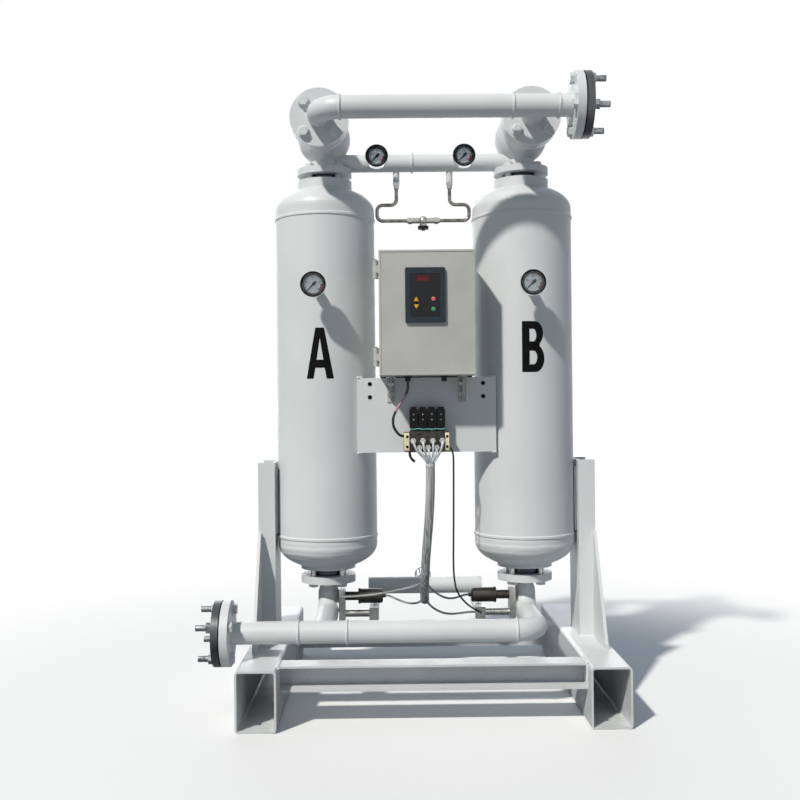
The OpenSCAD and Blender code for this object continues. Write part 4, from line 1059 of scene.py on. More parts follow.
@dataclass
class Studio:
    """A pale floor, a key from the upper left, a faint lamp behind and an even surrounding light.

    The floor's sizes are in metres.
    """

    floor_size: float = 28.0
    floor_fade: Span = (0.75, 2.2, 0.0, 1.0)
    floor_seen: str = "#f0f1f1"
    floor_bounce: str = "#8d9092"
    key_from: Point = (-0.42, -0.56, 0.71)
    key_strength: float = 3.35
    key_angle: float = 3.0
    key_colour: str = "#fffaf2"
    back_from: Point = (-0.12, 0.97, 0.2)
    back_strength: float = 1.0
    back_angle: float = 50.0
    back_colour: str = "#f2f6fc"
    lamp_away: float = 4.0
    sky: str = "#9db0c6"
    sky_strength: float = 0.40

    def build(self) -> None:
        """Adds the floor, the lamps and the world."""
        bpy.context.scene.view_settings.view_transform = "Standard"
        self.floor()
        self.lamp("key_lamp", self.key_from, self.key_strength, self.key_angle, self.key_colour)
        self.lamp("back_lamp", self.back_from, self.back_strength, self.back_angle, self.back_colour)
        self.world()

    def floor(self) -> None:
        """Adds the floor, which fades to white far from the object."""
        ground = Bench.start("studio_floor", bpy.ops.mesh.primitive_plane_add, size=self.floor_size)
        made = bpy.data.materials.new("studio_floor_sheet")
        canvas = Canvas.of(made, "Principled BSDF")
        canvas.fix({"Roughness": 0.9})
        away = canvas.add("VectorMath", None, {0: canvas.place}, operation="LENGTH")
        fade = canvas.add("MapRange", dict(zip(SPAN, self.floor_fade)), {0: away.outputs["Value"]},
                          interpolation_type="SMOOTHSTEP")
        rays = canvas.add("LightPath").outputs
        seen = canvas.add("Math", None, {0: rays["Is Camera Ray"], 1: rays["Is Glossy Ray"]},
                          operation="MAXIMUM")
        share = canvas.add("Math", None, {0: fade.outputs[0], 1: seen.outputs[0]}, operation="MULTIPLY")
        tint = canvas.add("Mix", {MIX_A: linear(self.floor_bounce), MIX_B: linear(self.floor_seen)},
                          {0: rays["Is Camera Ray"]}, data_type="RGBA")
        canvas.feed({"Base Color": tint.outputs[MIX_OUT]})
        glow = canvas.add("Emission", {"Color": WHITE, "Strength": 1.0})
        self.show(canvas, share.outputs[0], glow, "Material Output")
        ground.data.materials.append(made)

    def show(self, canvas: Canvas, share: Socket, white: Node, output: str) -> None:
        """Mixes a canvas's shader with white and shows the result.

        Args:
            canvas: The nodes.
            share: The share of white.
            white: The white shader.
            output: The name of the output node.
        """
        both = canvas.add("MixShader", None, {0: share, 1: canvas.shader.outputs[0], 2: white.outputs[0]})
        canvas.feed({"Surface": both.outputs[0]}, canvas.tree.nodes[output])

    def lamp(self, name: str, source: Point, strength: float, angle: float, colour: str) -> None:
        """Adds a far lamp.

        Args:
            name: The lamp's name.
            source: The direction that its light comes from.
            strength: Its strength.
            angle: How wide it looks, in degrees: a wide lamp has soft shadows.
            colour: Its colour.
        """
        data = bpy.data.lights.new(name, "SUN")
        data.energy = strength
        data.angle = math.radians(angle)
        data.color = linear(colour)[:3]
        holder = bpy.data.objects.new(name, data)
        holder.rotation_euler = Vector(source).to_track_quat("Z", "Y").to_euler()
        holder.location = Vector(source) * self.lamp_away
        bpy.context.collection.objects.link(holder)

    def world(self) -> None:
        """Adds the surrounding light, white where the camera or a reflection sees it."""
        made = bpy.data.worlds.new("studio_world")
        bpy.context.scene.world = made
        canvas = Canvas.of(made, "Background")
        canvas.fix({"Color": linear(self.sky), "Strength": self.sky_strength})
        white = canvas.add("Background", {"Color": WHITE, "Strength": 1.0})
        rays = canvas.add("LightPath").outputs
        clear = canvas.add("Math", None, {0: rays["Is Transmission Ray"], 1: rays["Is Camera Ray"]},
                           operation="MAXIMUM")
        gloss = canvas.add("Math", None, {0: clear.outputs[0], 1: rays["Is Glossy Ray"]}, operation="MAXIMUM")
        self.show(canvas, gloss.outputs[0], white, "World Output")


def smooth_route(route: Sequence[Point], steps: int = 4) -> list[Vector]:
    """Draws a smooth curve through a route.

    Args:
        route: The route's points.
        steps: How many points the curve has for each of them.

    Returns:
        The curve's points, in metres.
    """
    points = [mm_point(point) for point in route]
    padded = [2 * points[0] - points[1], *points, 2 * points[-1] - points[-2]]
    made: list[Vector] = []
    for a, b, c, d in zip(padded, padded[1:], padded[2:], padded[3:]):
        for step in range(steps):
            t = step / steps
            made.append(0.5 * (2 * b + (c - a) * t + (2 * a - 5 * b + 4 * c - d) * t * t
                               + (3 * b - a - 3 * c + d) * t ** 3))
    return [*made, points[-1]]


@dataclass
class TubeRun:
    """One free tube or cable along its route."""

    name: str
    node: str
    diameter: float
    route: Sequence[Point]
    finish: Finish
    stiffness: str = "medium"
    lay: str = "hanging"
    carried: list[Piece] = field(default_factory=list)

    def build(self) -> None:
        points = smooth_route(self.route)
        piece = Bench.tube(self.name, points, self.diameter, 4)
        dress(piece, self.finish)
        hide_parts(self.node)


@dataclass
class Tubing:
    """The pilot tubes, their wrapped bundle and the two cables."""

    bundle_d: float = 24.0
    tube_d: float = 6.0
    coil_cable_d: float = 7.0
    signal_cable_d: float = 5.0
    bundle: Sequence[Point] = (
        (6, -172, 630), (6, -173, 600), (5, -173, 555), (3, -171, 510), (0, -167, 465), (-4, -160, 420),
        (-7, -151, 380), (-9, -139, 340), (-10, -122, 305), (-10, -102, 275), (-9, -85, 256))
    coil_tubes: Sequence[Sequence[Point]] = (
        ((-38, -176, 690), (-38, -186, 690), (-37.5, -195, 686), (-34, -199, 676), (-28.5, -197, 665),
         (-18, -187, 653), (-8.5, -177, 642), (-1.8, -172.5, 631)),
        ((-13, -176, 690), (-13, -186, 690), (-13, -195, 686), (-11.5, -199, 676), (-9, -197, 665),
         (-4.5, -187, 653), (0, -174, 643), (2.1, -165.7, 631)),
        ((13, -176, 690), (13, -186, 690), (13, -195, 686), (13, -199, 676), (13, -197, 665),
         (12.3, -187, 653), (12, -174, 643), (9.9, -165.7, 631)),
        ((38, -176, 690), (38, -186, 690), (37.5, -195, 686), (35.5, -199, 676), (32, -197, 665),
         (26.5, -187, 653), (20.5, -177, 642), (13.8, -172.5, 631)),
        ((-21.5, -176, 672), (-21.5, -185, 671.7), (-21, -193.5, 667.5), (-17, -197, 659), (-9.5, -193, 650),
         (-2.5, -186.5, 642), (2.1, -179.3, 631)),
        ((1, -176, 672), (1, -185, 671.7), (1.2, -193.5, 667.5), (2.2, -195.5, 658.5), (4, -190, 649.5),
         (6, -181, 642), (6, -172.5, 631)),
        ((23, -176, 672), (23, -185, 671.7), (22.6, -193.5, 667.5), (20.2, -197, 659), (17, -193, 650),
         (14.5, -186.5, 642), (9.9, -179.3, 631)))
    pilot_tubes: Sequence[Sequence[Point]] = (
        ((-12, -126, 312), (-40, -118, 300), (-80, -106, 288), (-120, -96, 279), (-160, -86, 272),
         (-195, -74, 267), (-222, -62, 264), (-233, -53, 262.2), (-234.5, -45.1, 261.7)),
        ((-12, -92, 262), (-26, -80, 250), (-44, -66, 245), (-64, -52, 246), (-84, -36, 251),
         (-100, -23, 256), (-107, -17.5, 257.7), (-113.7, -16.7, 257.7)),
        ((-6, -124, 310), (10, -112, 290), (28, -98, 274), (48, -80, 262), (68, -58, 256), (88, -34, 256),
         (104, -19, 257.5), (113.7, -16.7, 257.7)),
        ((-6, -90, 258), (8, -82, 240), (26, -72, 226), (46, -60, 216), (68, -46, 211), (92, -30, 209.7),
         (116, -18, 209.7), (133.7, -16.7, 209.7)))
    coil_cable: Sequence[Point] = (
        (-50, -160, 862), (-50, -160, 842), (-51, -161, 826), (-58, -164, 806), (-72, -168, 786),
        (-84, -170, 766), (-90, -169, 746), (-88, -163, 726), (-78, -154, 710), (-70, -148, 704),
        (-63.1, -146, 702))
    signal_cable: Sequence[Point] = (
        (58.9, -150, 670), (63, -151, 667), (67, -152, 654), (68, -152, 634), (68, -149, 590),
        (68, -143, 540), (68, -134, 485), (68, -122, 430), (68, -110, 375), (70, -96, 325), (77, -80, 285),
        (90, -66, 260), (106, -56, 241), (124, -48, 226), (140, -42, 216), (146.5, -38, 212.5),
        (147, -34.1, 212))
    tie_at: Point = (6.0, -172.0, 626.0)
    tie_h: float = 9.0
    tie_t: float = 0.6
    tie_wall: float = 1.0
    tie_edge: float = 0.4
    tie_lip: float = 3.0
    tie_flare: float = 1.14

    def build(self) -> None:
        """Builds every run."""
        TubeRun("wrapped_bundle", "tube_bundle", self.bundle_d, self.bundle, SLEEVE, "stiff",
                carried=[self.tie()]).build()
        for number, route in enumerate(self.coil_tubes):
            TubeRun(f"coil_tube_{number}", "coil_tubes", self.tube_d, route, CLEAR_TUBE, "limp").build()
        for number, route in enumerate(self.pilot_tubes):
            TubeRun(f"pilot_tube_{number}", "pilot_tubes", self.tube_d, route, PILOT_TUBE).build()
        TubeRun("coil_lead", "coil_cable", self.coil_cable_d, self.coil_cable, LEAD_JACKET).build()
        TubeRun("signal_lead", "signal_cable", self.signal_cable_d, self.signal_cable, PVC_BLACK).build()

    def tie(self) -> Piece:
        """Makes the clear tie at the bundle's mouth.

        Returns:
            The tie.
        """
        piece = Bench.settle(Bench.start(
            "bundle_tie", bpy.ops.mesh.primitive_cylinder_add, vertices=36, depth=mm(self.tie_h),
            radius=mm(self.bundle_d / 2 + self.tie_t), location=mm_point(self.tie_at)))
        Bench.edit(piece, lambda face: face.normal.z > FACING)
        bpy.ops.mesh.inset(thickness=mm(self.tie_wall), depth=0.0)
        bpy.ops.mesh.extrude_region_move(TRANSFORM_OT_translate={"value": (0.0, 0.0, mm(self.tie_lip))})
        bpy.ops.transform.resize(value=(self.tie_flare, self.tie_flare, 1.0))
        Bench.leave()
        Bench.tidy_shell(Bench.round_edges(piece, self.tie_edge))
        return dress(Bench.smooth(piece), CLEAR_TUBE)


def bow(centre: Pair, reach: Pair, start: float, stop: float, steps: int = 12) -> Outline:
    """Draws an oval bow.

    Args:
        centre: Its middle.
        reach: Its two radii.
        start: First angle in degrees.
        stop: Last angle in degrees.
        steps: How many straight steps it has.

    Returns:
        Its points.
    """
    turns = [math.radians(start + (stop - start) * step / steps) for step in range(steps + 1)]
    return [(centre[0] + reach[0] * math.cos(t), centre[1] + reach[1] * math.sin(t)) for t in turns]


@dataclass
class TowerMark:
    """A plain condensed letter cut from black film and wrapped on a tower's shell.

    The outlines run from 0 to 1 in width and height, the outer one first.
    """

    name: str
    outlines: Sequence[Outline]
    axis: float
    side: float
    level: float
    width: float
    height: float = 135.0
    shell_r: float = 136.5
    film: float = 0.5
    film_t: float = 0.3
    slice_step: float = 5.0

    def build(self) -> None:
        """Cuts the flat letter, slices it and wraps it."""
        flat = [[(mm((u - 0.5) * self.width), mm((w - 0.5) * self.height), 0.0) for u, w in outline]
                for outline in self.outlines]
        piece = Bench.to_mesh(Bench.curve(self.name, flat, True, dimensions="2D", fill_mode="BOTH"))
        Bench.edit_all(piece)
        cuts = int(self.width / self.slice_step)
        for cut in range(1, cuts):
            bpy.ops.mesh.select_all(action="SELECT")
            bpy.ops.mesh.bisect(plane_co=(mm(-self.width / 2 + cut * self.width / cuts), 0.0, 0.0),
                                plane_no=(1.0, 0.0, 0.0))
        Bench.leave()
        reach = mm(self.shell_r + self.film)
        for v in piece.data.vertices:
            turn = (v.co.x + mm(self.side)) / mm(self.shell_r)
            v.co = (mm(self.axis) + reach * math.sin(turn), -reach * math.cos(turn), v.co.y + mm(self.level))
        Bench.tidy_shell(piece)
        if sum(face.normal.y * face.area for face in piece.data.polygons) > 0:
            Bench.edit_all(piece)
            bpy.ops.mesh.flip_normals()
            Bench.leave()
        Bench.modify(piece, "SOLIDIFY", thickness=mm(self.film_t), offset=-1.0)
        dress(piece, INK_BLACK)


LETTER_A: list[Outline] = [
    [(0.0, 0.0), (0.26, 0.0), (0.33, 0.213), (0.67, 0.213), (0.74, 0.0), (1.0, 0.0), (0.66, 1.0),
     (0.34, 1.0)],
    [(0.375, 0.37), (0.5, 0.80), (0.625, 0.37)],
]
LETTER_B: list[Outline] = [
    [(0.0, 0.0), *bow((0.58, 0.27), (0.42, 0.27), -90.0, 62.0), *bow((0.56, 0.76), (0.39, 0.24), -52.0, 90.0),
     (0.0, 1.0)],
    [(0.33, 0.15), *bow((0.50, 0.285), (0.17, 0.135), -90.0, 90.0), (0.33, 0.42)],
    [(0.33, 0.60), *bow((0.49, 0.725), (0.15, 0.125), -90.0, 90.0), (0.33, 0.85)],
]


@dataclass
class Gauge:
    """One pressure gauge's bezel, dial print, inner ring and pointer boss."""

    name: str
    centre: Point
    bezel_r: float
    pointer: Body
    sweep: float = 270.0
    zero: float = 225.0
    ticks: int = 33
    long_every: int = 8
    long_tick: Pair = (5.0, 1.1)
    short_tick: Pair = (3.0, 0.6)
    tick_t: float = 0.3
    tick_in: float = 6.0
    numbers: tuple[str, ...] = ("0", "0.4", "0.8", "1.2", "1.6")
    number_h: float = 5.6
    number_in: float = 13.6
    number_ahead: float = 0.2
    red_from: float = 0.82
    red_in: float = 7.8
    red_ahead: float = 0.25
    red_section: Pair = (4.6, 0.3)
    bezel_w: float = 5.3
    rim_section: Pair = (4.8, 4.6)
    rim_in: float = 3.0
    rim_ahead: float = 8.0
    inner_section: Pair = (6.0, 4.4)
    inner_in: float = 2.4
    inner_ahead: float = 2.8
    boss_r: Pair = (4.0, 7.4)
    boss_t: float = 1.2
    boss_step: Pair = (1.0, 0.3)
    boss_off: float = 2.2
    boss_ahead: float = 3.4

    @property
    def dial_r(self) -> float:
        """Radius of the dial that shows."""
        return self.bezel_r - self.bezel_w

    def angle(self, share: float) -> float:
        """The angle at a share of the scale, in degrees."""
        return self.zero - share * self.sweep

    def spot(self, share: float, radius: float, ahead: float) -> Point:
        """Finds a point on the dial.

        Args:
            share: Its share of the scale.
            radius: How far out it is.
            ahead: How far it stands in front of the dial.

        Returns:
            The point.
        """
        turn = math.radians(self.angle(share))
        x, y, z = self.centre
        return (x + radius * math.cos(turn), y - ahead, z + radius * math.sin(turn))

    def build(self) -> None:
        """Adds the bezel, the ring, the scale, the numbers, the red arc and the boss."""
        x, y, z = self.centre
        rim = Bench.ring(f"{self.name}_bezel", self.bezel_r - self.rim_in, self.rim_section,
                         (x, y - self.rim_ahead, z))
        dress(rim, RIM_BLACK)
        inner = Bench.ring(f"{self.name}_inner_ring", self.dial_r - self.inner_in, self.inner_section,
                           (x, y - self.inner_ahead, z))
        dress(inner, INK_BLACK)
        dress(self.scale(), INK_BLACK)
        dress(self.print_numbers(), INK_BLACK)
        dress(self.red_arc(), INK_RED)
        dress(self.boss(), INK_BLACK, self.pointer)

    def boss(self) -> Piece:
        """Makes the pointer's oval boss, which reaches out to its tail.

        Returns:
            The boss.
        """
        x, y, z = self.centre
        piece = Bench.start(f"{self.name}_pointer_boss", bpy.ops.mesh.primitive_cylinder_add, vertices=28,
                            radius=1.0, depth=mm(self.boss_t))
        piece.scale = (mm(self.boss_r[0]), mm(self.boss_r[1]), 1.0)
        Bench.settle(piece)
        piece.rotation_euler = (QUARTER, math.radians(self.zero - 180.0), 0.0)
        piece.location = mm_point((x + self.boss_off, y - self.boss_ahead, z + self.boss_off))
        return Bench.smooth(Bench.press(Bench.settle(piece), self.boss_step))

    def scale(self) -> Piece:
        """Makes the scale's ticks.

        Returns:
            The ticks, joined.
        """
        bars: list[Piece] = []
        for number in range(self.ticks):
            share = number / (self.ticks - 1)
            length, width = self.short_tick if number % self.long_every else self.long_tick
            spot = self.spot(share, self.dial_r - self.tick_in - length / 2, self.tick_t / 2)
            bars.append(Bench.block("tick", (length, self.tick_t, width), spot, -self.angle(share)))
        return Bench.join(bars, f"{self.name}_scale")

    def print_numbers(self) -> Piece:
        """Makes the scale's numbers.

        Returns:
            The numbers, joined.
        """
        last = len(self.numbers) - 1
        made = [Bench.figures("number", body, self.number_h,
                              self.spot(index / last, self.dial_r - self.number_in, self.number_ahead))
                for index, body in enumerate(self.numbers)]
        return Bench.join(made, f"{self.name}_numbers")

    def red_arc(self) -> Piece:
        """Makes the red arc at the top of the scale.

        Returns:
            The arc.
        """
        piece = Bench.start(f"{self.name}_red_arc", bpy.ops.mesh.primitive_plane_add, size=1.0)
        piece.scale = (mm(self.red_section[0]), mm(self.red_section[1]), 1.0)
        Bench.settle(piece)
        middle = mm_point(self.spot(self.red_from, self.dial_r - self.red_in, self.red_ahead))
        turn = math.radians(self.angle(self.red_from))
        piece.data.transform(Matrix.Translation(middle) @ Matrix.Rotation(-turn, 4, "Y"))
        Bench.edit_all(piece)
        bpy.ops.mesh.spin(steps=16, angle=-math.radians((1.0 - self.red_from) * self.sweep),
                          center=mm_point(self.centre), axis=(0.0, 1.0, 0.0))
        Bench.leave()
        return Bench.tidy_shell(piece)


@dataclass
class ControllerFace:
    """The controller's printed film, window and keys.

    A layer is how far its back stands in front of the recess floor, its thickness and its corner radius.
    """

    middle: Point = (-5.0, -231.5, 1065.0)
    film: Pair = (75.4, 109.0)
    film_layer: Point = (0.05, 0.6, 2.0)
    window: Pair = (39.0, 19.0)
    window_at: Pair = (-6.0, 41.0)
    window_layer: Point = (0.6, 0.5, 1.0)
    edge_share: float = 0.3
    figures_h: float = 15.0
    figures_ahead: float = 1.2
    arrows_x: float = -23.0
    arrows_z: float = -20.0
    arrows_gap: float = 8.0
    arrow_r: float = 7.5
    dot_r: float = 3.6
    rounds_x: float = 20.6
    rounds_z: Pair = (-10.0, -36.0)
    round_r: float = 5.4
    key_t: float = 0.9
    key_ahead: float = 1.15
    key_edge: float = 0.25
    crown_share: float = 0.18
    crown_rise: float = 0.35

    def spot(self, at: Pair, ahead: float) -> Point:
        """Finds a point on the controller.

        Args:
            at: Its offset from the controller's middle.
            ahead: How far it stands in front of the recess floor.

        Returns:
            The point.
        """
        x, y, z = self.middle
        return (x + at[0], y - ahead, z + at[1])

    def plate(self, name: str, size: Pair, at: Pair, layer: Point, finish: Finish) -> None:
        """Adds a thin plate with rounded corners.

        Args:
            name: The piece's name.
            size: Width and height.
            at: Offset from the controller's middle.
            layer: Its layer.
            finish: Its finish.
        """
        back, thick, corner = layer
        piece = Bench.block(name, (size[0], thick, size[1]), self.spot(at, back + thick / 2))
        depths = [vertex.co.y for vertex in piece.data.vertices]
        Bench.edit(piece, lambda edge: (
            abs(depths[edge.vertices[0]] - depths[edge.vertices[1]]) > mm(thick) / 2), "EDGE")
        bpy.ops.mesh.bevel(offset=mm(corner), segments=6)
        Bench.leave()
        dress(Bench.smooth(Bench.round_edges(piece, thick * self.edge_share)), finish, Body.DOOR)

    def dome(self, name: str, at: Pair, radius: float, finish: Finish, sides: int = 40,
             turn: float = 0.0) -> Piece:
        """Makes a shallow domed key.

        Args:
            name: The piece's name.
            at: Offset from the controller's middle.
            radius: Its radius.
            finish: Its finish.
            sides: Three for an arrow, many for a round key.
            turn: Turn about the key's own axis, in degrees.

        Returns:
            The key.
        """
        piece = Bench.disc(name, radius, self.key_t, sides, self.spot(at, self.key_ahead), turn)
        Bench.press(piece, (radius * self.crown_share, self.crown_rise))
        Bench.round_edges(piece, self.key_edge)
        return dress(Bench.smooth(piece, angle=50.0), finish, Body.DOOR)

    def build(self) -> None:
        """Adds the film, the window, its figures and the keys."""
        self.plate("controller_film", self.film, (0.0, 0.0), self.film_layer, FASCIA)
        self.plate("controller_window", self.window, self.window_at, self.window_layer, DISPLAY_RED)
        shown = Bench.figures("window_figures", "8888", self.figures_h,
                              self.spot(self.window_at, self.figures_ahead))
        dress(shown, SEGMENT_RED, Body.DOOR)
        up, down = self.arrows_z + self.arrows_gap, self.arrows_z - self.arrows_gap
        keys = [
            self.dome("key_up", (self.arrows_x, up), self.arrow_r, KEY_YELLOW, 3, 0.0),
            self.dome("key_down", (self.arrows_x, down), self.arrow_r, KEY_YELLOW, 3, 180.0),
            self.dome("key_start", (self.rounds_x, self.rounds_z[0]), self.round_r, KEY_RED),
            self.dome("key_stop", (self.rounds_x, self.rounds_z[1]), self.round_r, KEY_GREEN),
        ]
        for key in keys:
            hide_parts("controller_keys")
        self.dome("key_middle", (self.arrows_x, self.arrows_z), self.dot_r, INK_BLACK)


@dataclass
class PilotStation:
    """Screws on the coils, the common wire, the vent and the brass end plates of the pilot valves."""

    coils_x: tuple[float, ...] = (-36.0, -12.0, 12.0, 36.0)
    coil_front: float = -162.0
    screws_z: Pair = (745.0, 759.0)
    screw_r: float = 1.5
    screw_h: float = 1.4
    screw_steps: Sequence[Pair] = ((0.6, 0.3), (0.5, -0.5))
    wire: Sequence[Point] = (
        (-47, -163, 722), (-36, -164, 720), (-24, -163, 721.5), (-12, -164.5, 720), (0, -163, 721),
        (12, -164.5, 719.5), (24, -163, 721), (36, -164, 720), (45, -163, 722))
    wire_d: float = 3.4
    vent: Sequence[Point] = (
        (-46, -150, 663), (-47, -151, 655), (-45, -153, 647), (-40, -156, 640), (-34, -158, 635))
    vent_d: float = 7.0
    plates: Sequence[tuple[str, float, float]] = (("left", -53.2, 17.0), ("right", 51.5, 11.0))
    plate_t: float = 2.0
    plate_h: float = 47.0
    plate_y: float = -161.0
    plate_z: float = 687.5
    plate_step: Pair = (0.8, 0.3)
    plate_edge: float = 0.4
    plugs_z: Pair = (674.0, 701.0)
    plug_r: float = 3.6
    plug_h: float = 2.2
    plug_off: float = 2.0
    plug_step: Pair = (1.4, -1.0)

    def build(self) -> None:
        """Adds the screws, the wire, the vent and the end plates."""
        screw = Bench.press(Bench.disc("coil_screw", self.screw_r, self.screw_h, 20), *self.screw_steps)
        spots = [(x, self.coil_front - self.screw_h / 2, z) for x in self.coils_x for z in self.screws_z]
        dress(Bench.scatter(Bench.smooth(screw), "coil_screws", spots), STAINLESS)
        self.bent_rod("coil_common_wire", self.wire, self.wire_d, TEAL_PVC)
        self.bent_rod("manifold_vent_elbow", self.vent, self.vent_d, BLACK_ABS)
        for side, x, width in self.plates:
            self.end_plate(side, x, width)

    def bent_rod(self, name: str, route: Sequence[Point], diameter: float, finish: Finish) -> None:
        """Adds a short stiff round piece along a route.

        Args:
            name: The piece's name.
            route: Its points.
            diameter: Its diameter.
            finish: Its finish.
        """
        piece = Bench.to_mesh(Bench.tube(name, smooth_route(route), diameter, 3))
        dress(Bench.smooth(piece), finish)

    def end_plate(self, side: str, x: float, width: float) -> None:
        """Adds a brass plate with two dark plugs on one end of the manifold.

        Args:
            side: left or right, for the name.
            x: The plate's middle.
            width: Its width.
        """
        piece = Bench.block(f"manifold_end_plate_{side}", (width, self.plate_t, self.plate_h),
                            (x, self.plate_y, self.plate_z))
        Bench.round_edges(Bench.press(piece, self.plate_step, cuts=3), self.plate_edge)
        dress(Bench.smooth(piece), BRASS)
        plug = Bench.press(Bench.disc("plug", self.plug_r, self.plug_h, 20), self.plug_step)
        spots = [(x, self.plate_y - self.plug_off, level) for level in self.plugs_z]
        dress(Bench.smooth(Bench.scatter(plug, f"manifold_plugs_{side}", spots)), INK_BLACK)


@dataclass
class WeldBeads:
    """Rippled weld beads: rings round the pipes and fillets along the frame's joints."""

    header_r: float = 28.5
    purge_r: float = 24.0
    headers: Sequence[Point] = (
        (-334.0, -265.0, 214.0), (-212.0, -265.0, 214.0), (216.0, -265.0, 214.0), (-216.0, -308.0, 1524.0),
        (214.0, -308.0, 1524.0), (328.0, -308.0, 1524.0))
    purge: Point = (-30.0, 0.0, 1457.0)
    bead_r: float = 2.3
    bead_proud: float = 0.9
    ripple: float = 0.5
    ripples: int = 24
    wander: float = 0.5
    wanders: int = 5
    flatten: float = 1.4
    fillet: float = 5.0
    fillet_pitch: float = 5.0
    drop: Point = (0.9, 0.9, 0.8)
    rows: Sequence[tuple[Point, Point]] = (
        ((412.8, -68.0, 150.0), (457.8, -68.0, 150.0)),
        ((412.8, 68.0, 150.0), (457.8, 68.0, 150.0)),
        ((378.0, -347.0, 149.0), (378.0, -290.0, 149.0)),
        ((378.0, -345.0, 90.0), (378.0, -345.0, 146.0)),
        ((184.0, -117.0, 657.0), (172.0, -112.0, 657.0)),
        ((184.0, -117.0, 858.0), (172.0, -112.0, 858.0)))

    def build(self) -> None:
        """Adds the rings, and the fillets of the uprights, the cross-member and the panel."""
        rings = [*((centre, self.header_r) for centre in self.headers), (self.purge, self.purge_r)]
        for number, (centre, radius) in enumerate(rings):
            self.ring(f"pipe_weld_{number}", centre, radius)
        for side, sign in (("left", -1.0), ("right", 1.0)):
            made = [self.bead_row((sign * a[0], a[1], a[2]), (sign * b[0], b[1], b[2])) for a, b in self.rows]
            dress(Bench.join(made, f"{side}_frame_welds"), GREY_PAINT)

    def ring(self, name: str, centre: Point, radius: float) -> None:
        """Adds one rippled ring about an axis along X.

        Args:
            name: The ring's name.
            centre: Its middle.
            radius: The pipe's outside radius.
        """
        piece = Bench.settle(Bench.start(
            name, bpy.ops.mesh.primitive_torus_add, major_segments=72, minor_segments=10,
            major_radius=mm(radius + self.bead_proud), minor_radius=mm(self.bead_r),
            rotation=(0.0, QUARTER, 0.0)))
        for v in piece.data.vertices:
            turn = math.atan2(v.co.z, v.co.y)
            grow = 1.0 + mm(self.ripple) * math.sin(self.ripples * turn) / mm(radius)
            along = v.co.x * self.flatten + mm(self.wander) * math.sin(self.wanders * turn)
            v.co = (along, v.co.y * grow, v.co.z * grow)
        piece.data.transform(Matrix.Translation(mm_point(centre)))
        dress(Bench.smooth(piece, angle=80.0), GREY_PAINT)

    def bead_row(self, start: Point, end: Point) -> Piece:
        """Makes a row of overlapping weld drops between two points.

        Args:
            start: Where it starts.
            end: Where it ends.

        Returns:
            The row.
        """
        a, b = mm_point(start), mm_point(end)
        count = max(2, round((b - a).length / mm(self.fillet_pitch)))
        piece = Bench.start("row", bpy.ops.mesh.primitive_uv_sphere_add, segments=8, ring_count=6,
                            radius=mm(self.fillet))
        piece.scale = self.drop
        Bench.settle(piece)
        step = (b - a) / count
        Bench.modify(piece, "ARRAY", use_relative_offset=False, use_constant_offset=True,
                     constant_offset_displace=step, count=count)
        piece.data.transform(Matrix.Translation(a + step / 2))
        return Bench.smooth(piece, angle=80.0)


@dataclass
class BracketBolts:
    """Oily bolts that hold the cabinet's brackets to the panel."""

    places: Sequence[Pair] = ((-95.0, 812.0), (-95.0, 842.0), (95.0, 812.0), (95.0, 842.0))
    face: float = -121.0
    head_r: float = 6.2
    head_h: float = 4.6
    head_off: float = 1.4
    head_edge: float = 0.7
    washer_r: float = 8.4
    washer_t: float = 1.6
    washer_edge: float = 0.4

    def build(self) -> None:
        """Models one bolt with its washer and copies it."""
        head = Bench.disc("bolt", self.head_r, self.head_h, 6, (0.0, -self.head_h / 2 - self.head_off, 0.0))
        Bench.round_edges(head, self.head_edge)
        washer = Bench.disc("washer", self.washer_r, self.washer_t, 28, (0.0, -self.washer_t / 2, 0.0))
        Bench.round_edges(washer, self.washer_edge)
        first = Bench.smooth(Bench.join([head, washer], "bracket_bolt"), angle=30.0)
        spots = [(x, self.face, z) for x, z in self.places]
        dress(Bench.scatter(first, "bracket_bolts", spots), OILED_BOLT)


@dataclass
class PanelHoleShade:
    """Black dished plugs in the panel's spare holes: painted shade, dark pieces that stand in for the
    shadowed inside of the holes.
    """

    hole_x: float = 151.0
    levels: Pair = (841.0, 806.0)
    face: float = -118.0
    radius: float = 5.6
    height: float = 2.0
    steps: Sequence[Pair] = ((0.9, 0.0), (0.5, -0.9))

    def build(self) -> None:
        """Models one dished plug and copies it."""
        first = Bench.press(Bench.disc("plug", self.radius, self.height, 28), *self.steps)
        spots = [(x, self.face, z) for x in (-self.hole_x, self.hole_x) for z in self.levels]
        # Black finish: painted shade of the holes' dark inside
        dress(Bench.scatter(Bench.smooth(first), "panel_hole_shade_plugs", spots), INK_BLACK)


@dataclass
class SeatStrips:
    """Rubber strips between the panel's top fold and the cabinet, beside and between the brackets."""

    spans: Sequence[Pair] = ((-123.0, -106.5), (-83.5, 83.5), (106.5, 123.0))
    seat: float = 857.0
    thick: float = 2.9
    front: float = -117.0
    back: float = -96.0
    edge: float = 0.6

    def build(self) -> None:
        """Makes each strip with rounded edges."""
        middle = ((self.front + self.back) / 2, self.seat + self.thick / 2)
        made = [Bench.round_edges(Bench.block("strip", (high - low, self.back - self.front, self.thick),
                                              ((low + high) / 2, *middle)), self.edge)
                for low, high in self.spans]
        dress(Bench.smooth(Bench.join(made, "cabinet_seat_strips")), RUBBER)


